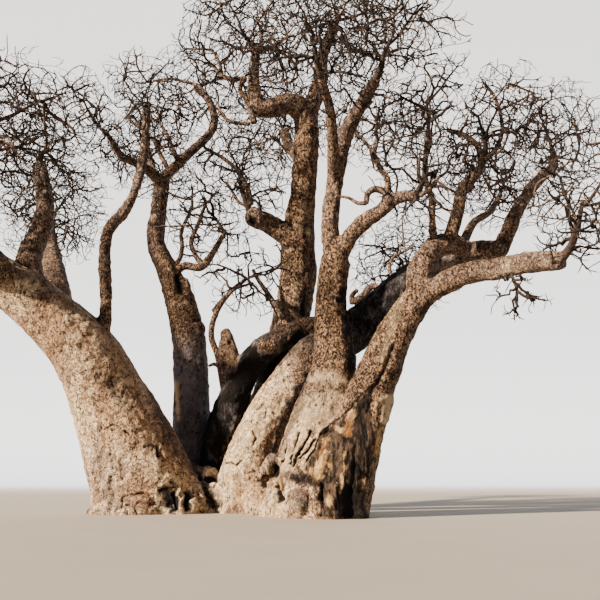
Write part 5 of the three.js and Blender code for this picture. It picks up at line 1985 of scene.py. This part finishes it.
@dataclass(frozen=True)
class BarkFinish(Finish):
    """The bark's finish. The mesh's shares say where it is pale, grey, brown, fresh, dark or bare wood, and
    where shade is painted into its hollows; the grey and dark shares also hold painted shade.
    """

    roughness: float = 0.92
    gloss: float = 0.2
    cream: str = "fbdfb6"
    dusky: str = "cda47f"
    blotch: str = "4a3426"
    tan: str = "c7a07e"
    umber: str = "2b2019"
    crevice: str = "150f0d"
    ash: str = "8b8890"
    slate: str = "57555c"
    weathered: str = "6b5747"
    charred: str = "120e0c"
    fresh: str = "f0c88c"
    rust: str = "94643a"
    relief: float = 0.3

    def dress(self, graph: Graph) -> tuple[Value, Value, Value]:
        """Wires the bark's colour, roughness and normal."""
        blend, step, tint, effect = graph.blend, graph.step, graph.tint, graph.effect
        place = graph.place()
        long, tall, even, wide = (graph.stretch(place, (1.0, 1.0, share)) for share in (0.5, 0.7, 0.8, 1.5))
        broad = effect(Effect.MOTTLE, long, Scale=0.6)
        middle = effect(Effect.MOTTLE, long, Scale=2.2)
        flaky = effect(Effect.MOTTLE, tall, Scale=2.7)
        gouges = effect(Effect.GOUGES, long, Scale=2.6, Width=0.022, Share=0.5)
        scratches = effect(Effect.GOUGES, even, Scale=6.0, Width=0.05, Share=0.8)
        creases = effect(Effect.CREASES, wide, Scale=3.6, Width=0.09, Share=0.75)
        pits = effect(Effect.PITS, tall, Scale=7.5, Size=0.42, Share=0.4)
        fibre = effect(Effect.FIBRE, place, Scale=11.0)
        dark, ochre, wood_share = tint("dark"), tint("ochre"), tint("wood")

        pale = blend(broad["Patch"], self.cream, self.dusky)
        pale = blend(middle["Patch"] * 0.26, pale, self.blotch)
        pale = blend(middle["Fleck"] * 0.4, pale, self.dusky)
        pale = blend(creases["Mask"] * 0.85, pale, self.blotch)
        pale = blend(scratches["Mask"] * 0.85, pale, self.blotch)

        brown = blend(flaky["Fleck"], self.tan, self.umber)
        brown = blend(flaky["Patch"] * 0.5, brown, self.umber)
        brown = blend(scratches["Mask"] * 0.85, brown, self.crevice)

        grey = blend(broad["Patch"], self.ash, self.slate)
        grey = blend(middle["Fleck"] * 0.4, grey, self.slate)

        brown_share = step(tint("brown") + (broad["Height"] - 0.72) * 1.8, 0.2, 0.75)
        colour = blend(brown_share, pale, brown)
        # The grey share, which is partly painted shade
        colour = blend(tint("grey") * 0.92, colour, grey)
        colour = blend(tint("pale") * 0.8, colour, self.cream)

        stray = middle["Height"] - 0.72
        colour = blend(wood_share, colour, blend(fibre["Shade"], self.charred, self.weathered))
        fresh_share = step(ochre + stray * 3.4, 0.42, 0.8) * step(ochre, 0.02, 0.2)
        colour = blend(fresh_share, colour, blend(fibre["Shade"], self.rust, self.fresh))

        holes = graph.maths("MAXIMUM", gouges["Mask"], pits["Mask"])
        lines = graph.maths("MAXIMUM", scratches["Mask"], creases["Mask"])
        colour = blend(holes * 0.85 * (1.0 - wood_share * 0.7), colour, self.crevice)
        # Painted shade in the mesh's hollows
        colour = blend((tint("crease") * 0.7).clamped, colour, self.crevice)
        # The dark share darkens to near black: dark marks, and also the painted shade of the limbs and the
        # painted shadow of the torn edge
        colour = blend(step(dark + stray * 1.3, 0.25, 0.8), colour, self.charred)

        height = middle["Height"] * 0.8 - holes * 0.3 - lines * 0.16 + flaky["Height"] * brown_share * 0.6
        height = height + fibre["Height"] * graph.maths("MAXIMUM", wood_share, ochre) * 1.2
        return colour, self.roughness - broad["Patch"] * 0.08, graph.bump(height, 1.0, self.relief)


@dataclass(frozen=True)
class TwigFinish(Finish):
    """The finish of fine twigs: a base colour with paler and darker stretches."""

    roughness: float = 0.85
    gloss: float = 0.25
    base: str = ""
    worn: str = ""

    def dress(self, graph: Graph) -> tuple[Value, float, Value]:
        """Wires the twigs' colour, roughness and normal."""
        place = graph.place()
        colour = graph.blend(graph.step(graph.noise(place, 3.0, 4.0), 0.42, 0.62), self.base, self.worn)
        return colour, self.roughness, graph.bump(graph.noise(place, 24.0, 3.0), 0.4, 0.01)


@dataclass(frozen=True)
class Studio:
    """The plain floor, the light and the camera round the tree."""

    floor_half: float = 150.0
    floor_colour: str = "a39a8d"
    mottle_colour: str = "998f82"
    floor_roughness: float = 0.95
    backdrop_colour: str = "dbe7f8"
    backdrop_start: float = 20.0
    backdrop_place: float = 120.0
    backdrop_height: float = 130.0
    backdrop_bend: float = 30.0
    fill_colour: str = "c6d6f2"
    fill_strength: float = 0.38
    sun_strength: float = 16.5
    sun_colour: tuple[float, float, float] = (1.0, 0.83, 0.64)
    sun_spread: float = 2.5
    sun_height: float = 24.0
    sun_turn: float = -60.0

    def floor(self) -> bpy.types.Object:
        """A plain pale floor that bends up into a backdrop, with a faint mottle."""
        half, bend = self.floor_half, self.backdrop_bend
        start, turns = self.backdrop_place - bend, np.linspace(0, math.pi / 2, 13)
        rise = [(start + bend * math.sin(turn), bend - bend * math.cos(turn)) for turn in turns]
        profile = [(-half, 0.0), *rise, (self.backdrop_place, self.backdrop_height)]
        points = [(side, y, z) for y, z in profile for side in (-2 * half, 2 * half)]
        faces = [(row, row + 1, row + 3, row + 2) for row in range(0, len(points) - 2, 2)]
        mesh = bpy.data.meshes.new("floor")
        mesh.from_pydata(points, [], faces)
        mesh.shade_smooth()
        material = bpy.data.materials.new("floor")
        material.use_nodes = True
        graph = Graph(material.node_tree)
        shader = material.node_tree.nodes["Principled BSDF"]
        place = graph.place()
        back = Value(graph, graph.node("ShaderNodeSeparateXYZ", {0: place}).outputs["Y"])
        mottled = graph.blend(graph.noise(place, 0.4, 5.0), self.floor_colour, self.mottle_colour)
        share = graph.step(back, self.backdrop_start, start)
        graph.put(shader.inputs["Base Color"], graph.blend(share, mottled, self.backdrop_colour))
        shader.inputs["Roughness"].default_value = self.floor_roughness
        mesh.materials.append(material)
        floor = placed("floor", mesh)
        floor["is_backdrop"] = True
        return floor

    def light(self) -> None:
        """A broad warm light low from the left and in front, and an even pale surround."""
        data = bpy.data.lights.new("key", "SUN")
        data.energy = self.sun_strength
        data.color = self.sun_colour
        data.angle = math.radians(self.sun_spread)
        key = placed("key", data)
        rise, turn = math.radians(self.sun_height), math.radians(self.sun_turn)
        source = Vector((math.sin(turn) * math.cos(rise), -math.cos(turn) * math.cos(rise), math.sin(rise)))
        key.rotation_euler = source.to_track_quat("Z", "Y").to_euler()
        world = bpy.data.worlds.new("surround")
        world.use_nodes = True
        background = world.node_tree.nodes["Background"]
        background.inputs["Color"].default_value = linear(self.fill_colour)
        background.inputs["Strength"].default_value = self.fill_strength
        bpy.context.scene.world = world

    def build(self) -> None:
        """Sets up the floor, the light and the camera."""
        self.floor()
        self.light()
        VIEW.add_camera()


GROUPS: tuple[Callable[[], None], ...] = (mottle_group, gouges_group, creases_group, pits_group, fibre_group)


def make_finishes() -> tuple[dict[Slot, bpy.types.Material], list[bpy.types.Material]]:
    """The bark's finishes by slot, and the tones that the twigs share out."""
    finishes = {
        Slot.PALE: BarkFinish("pale bark", roughness=0.9).build(),
        Slot.GREY: BarkFinish("grey bark").build(),
        Slot.BROWN: BarkFinish("brown bark", roughness=0.94).build(),
    }
    tones = [
        TwigFinish("dark twigs", base="1e1816", worn="2e2521").build(),
        TwigFinish("brown twigs", base="332720", worn="46372e").build(),
        TwigFinish("pale twigs", base="544338", worn="705d4f").build(),
    ]
    return finishes, tones


def main() -> None:
    """Builds the studio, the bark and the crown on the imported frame, and notes the sizes."""
    logging.basicConfig(level=logging.INFO, format="%(message)s")
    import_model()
    packed_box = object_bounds()
    Studio().build()
    for make_group in GROUPS:
        make_group()
    finishes, tones = make_finishes()
    Bark().build(finishes)
    Crown(packed_box).build(tones)


if __name__ == "__main__":
    main()
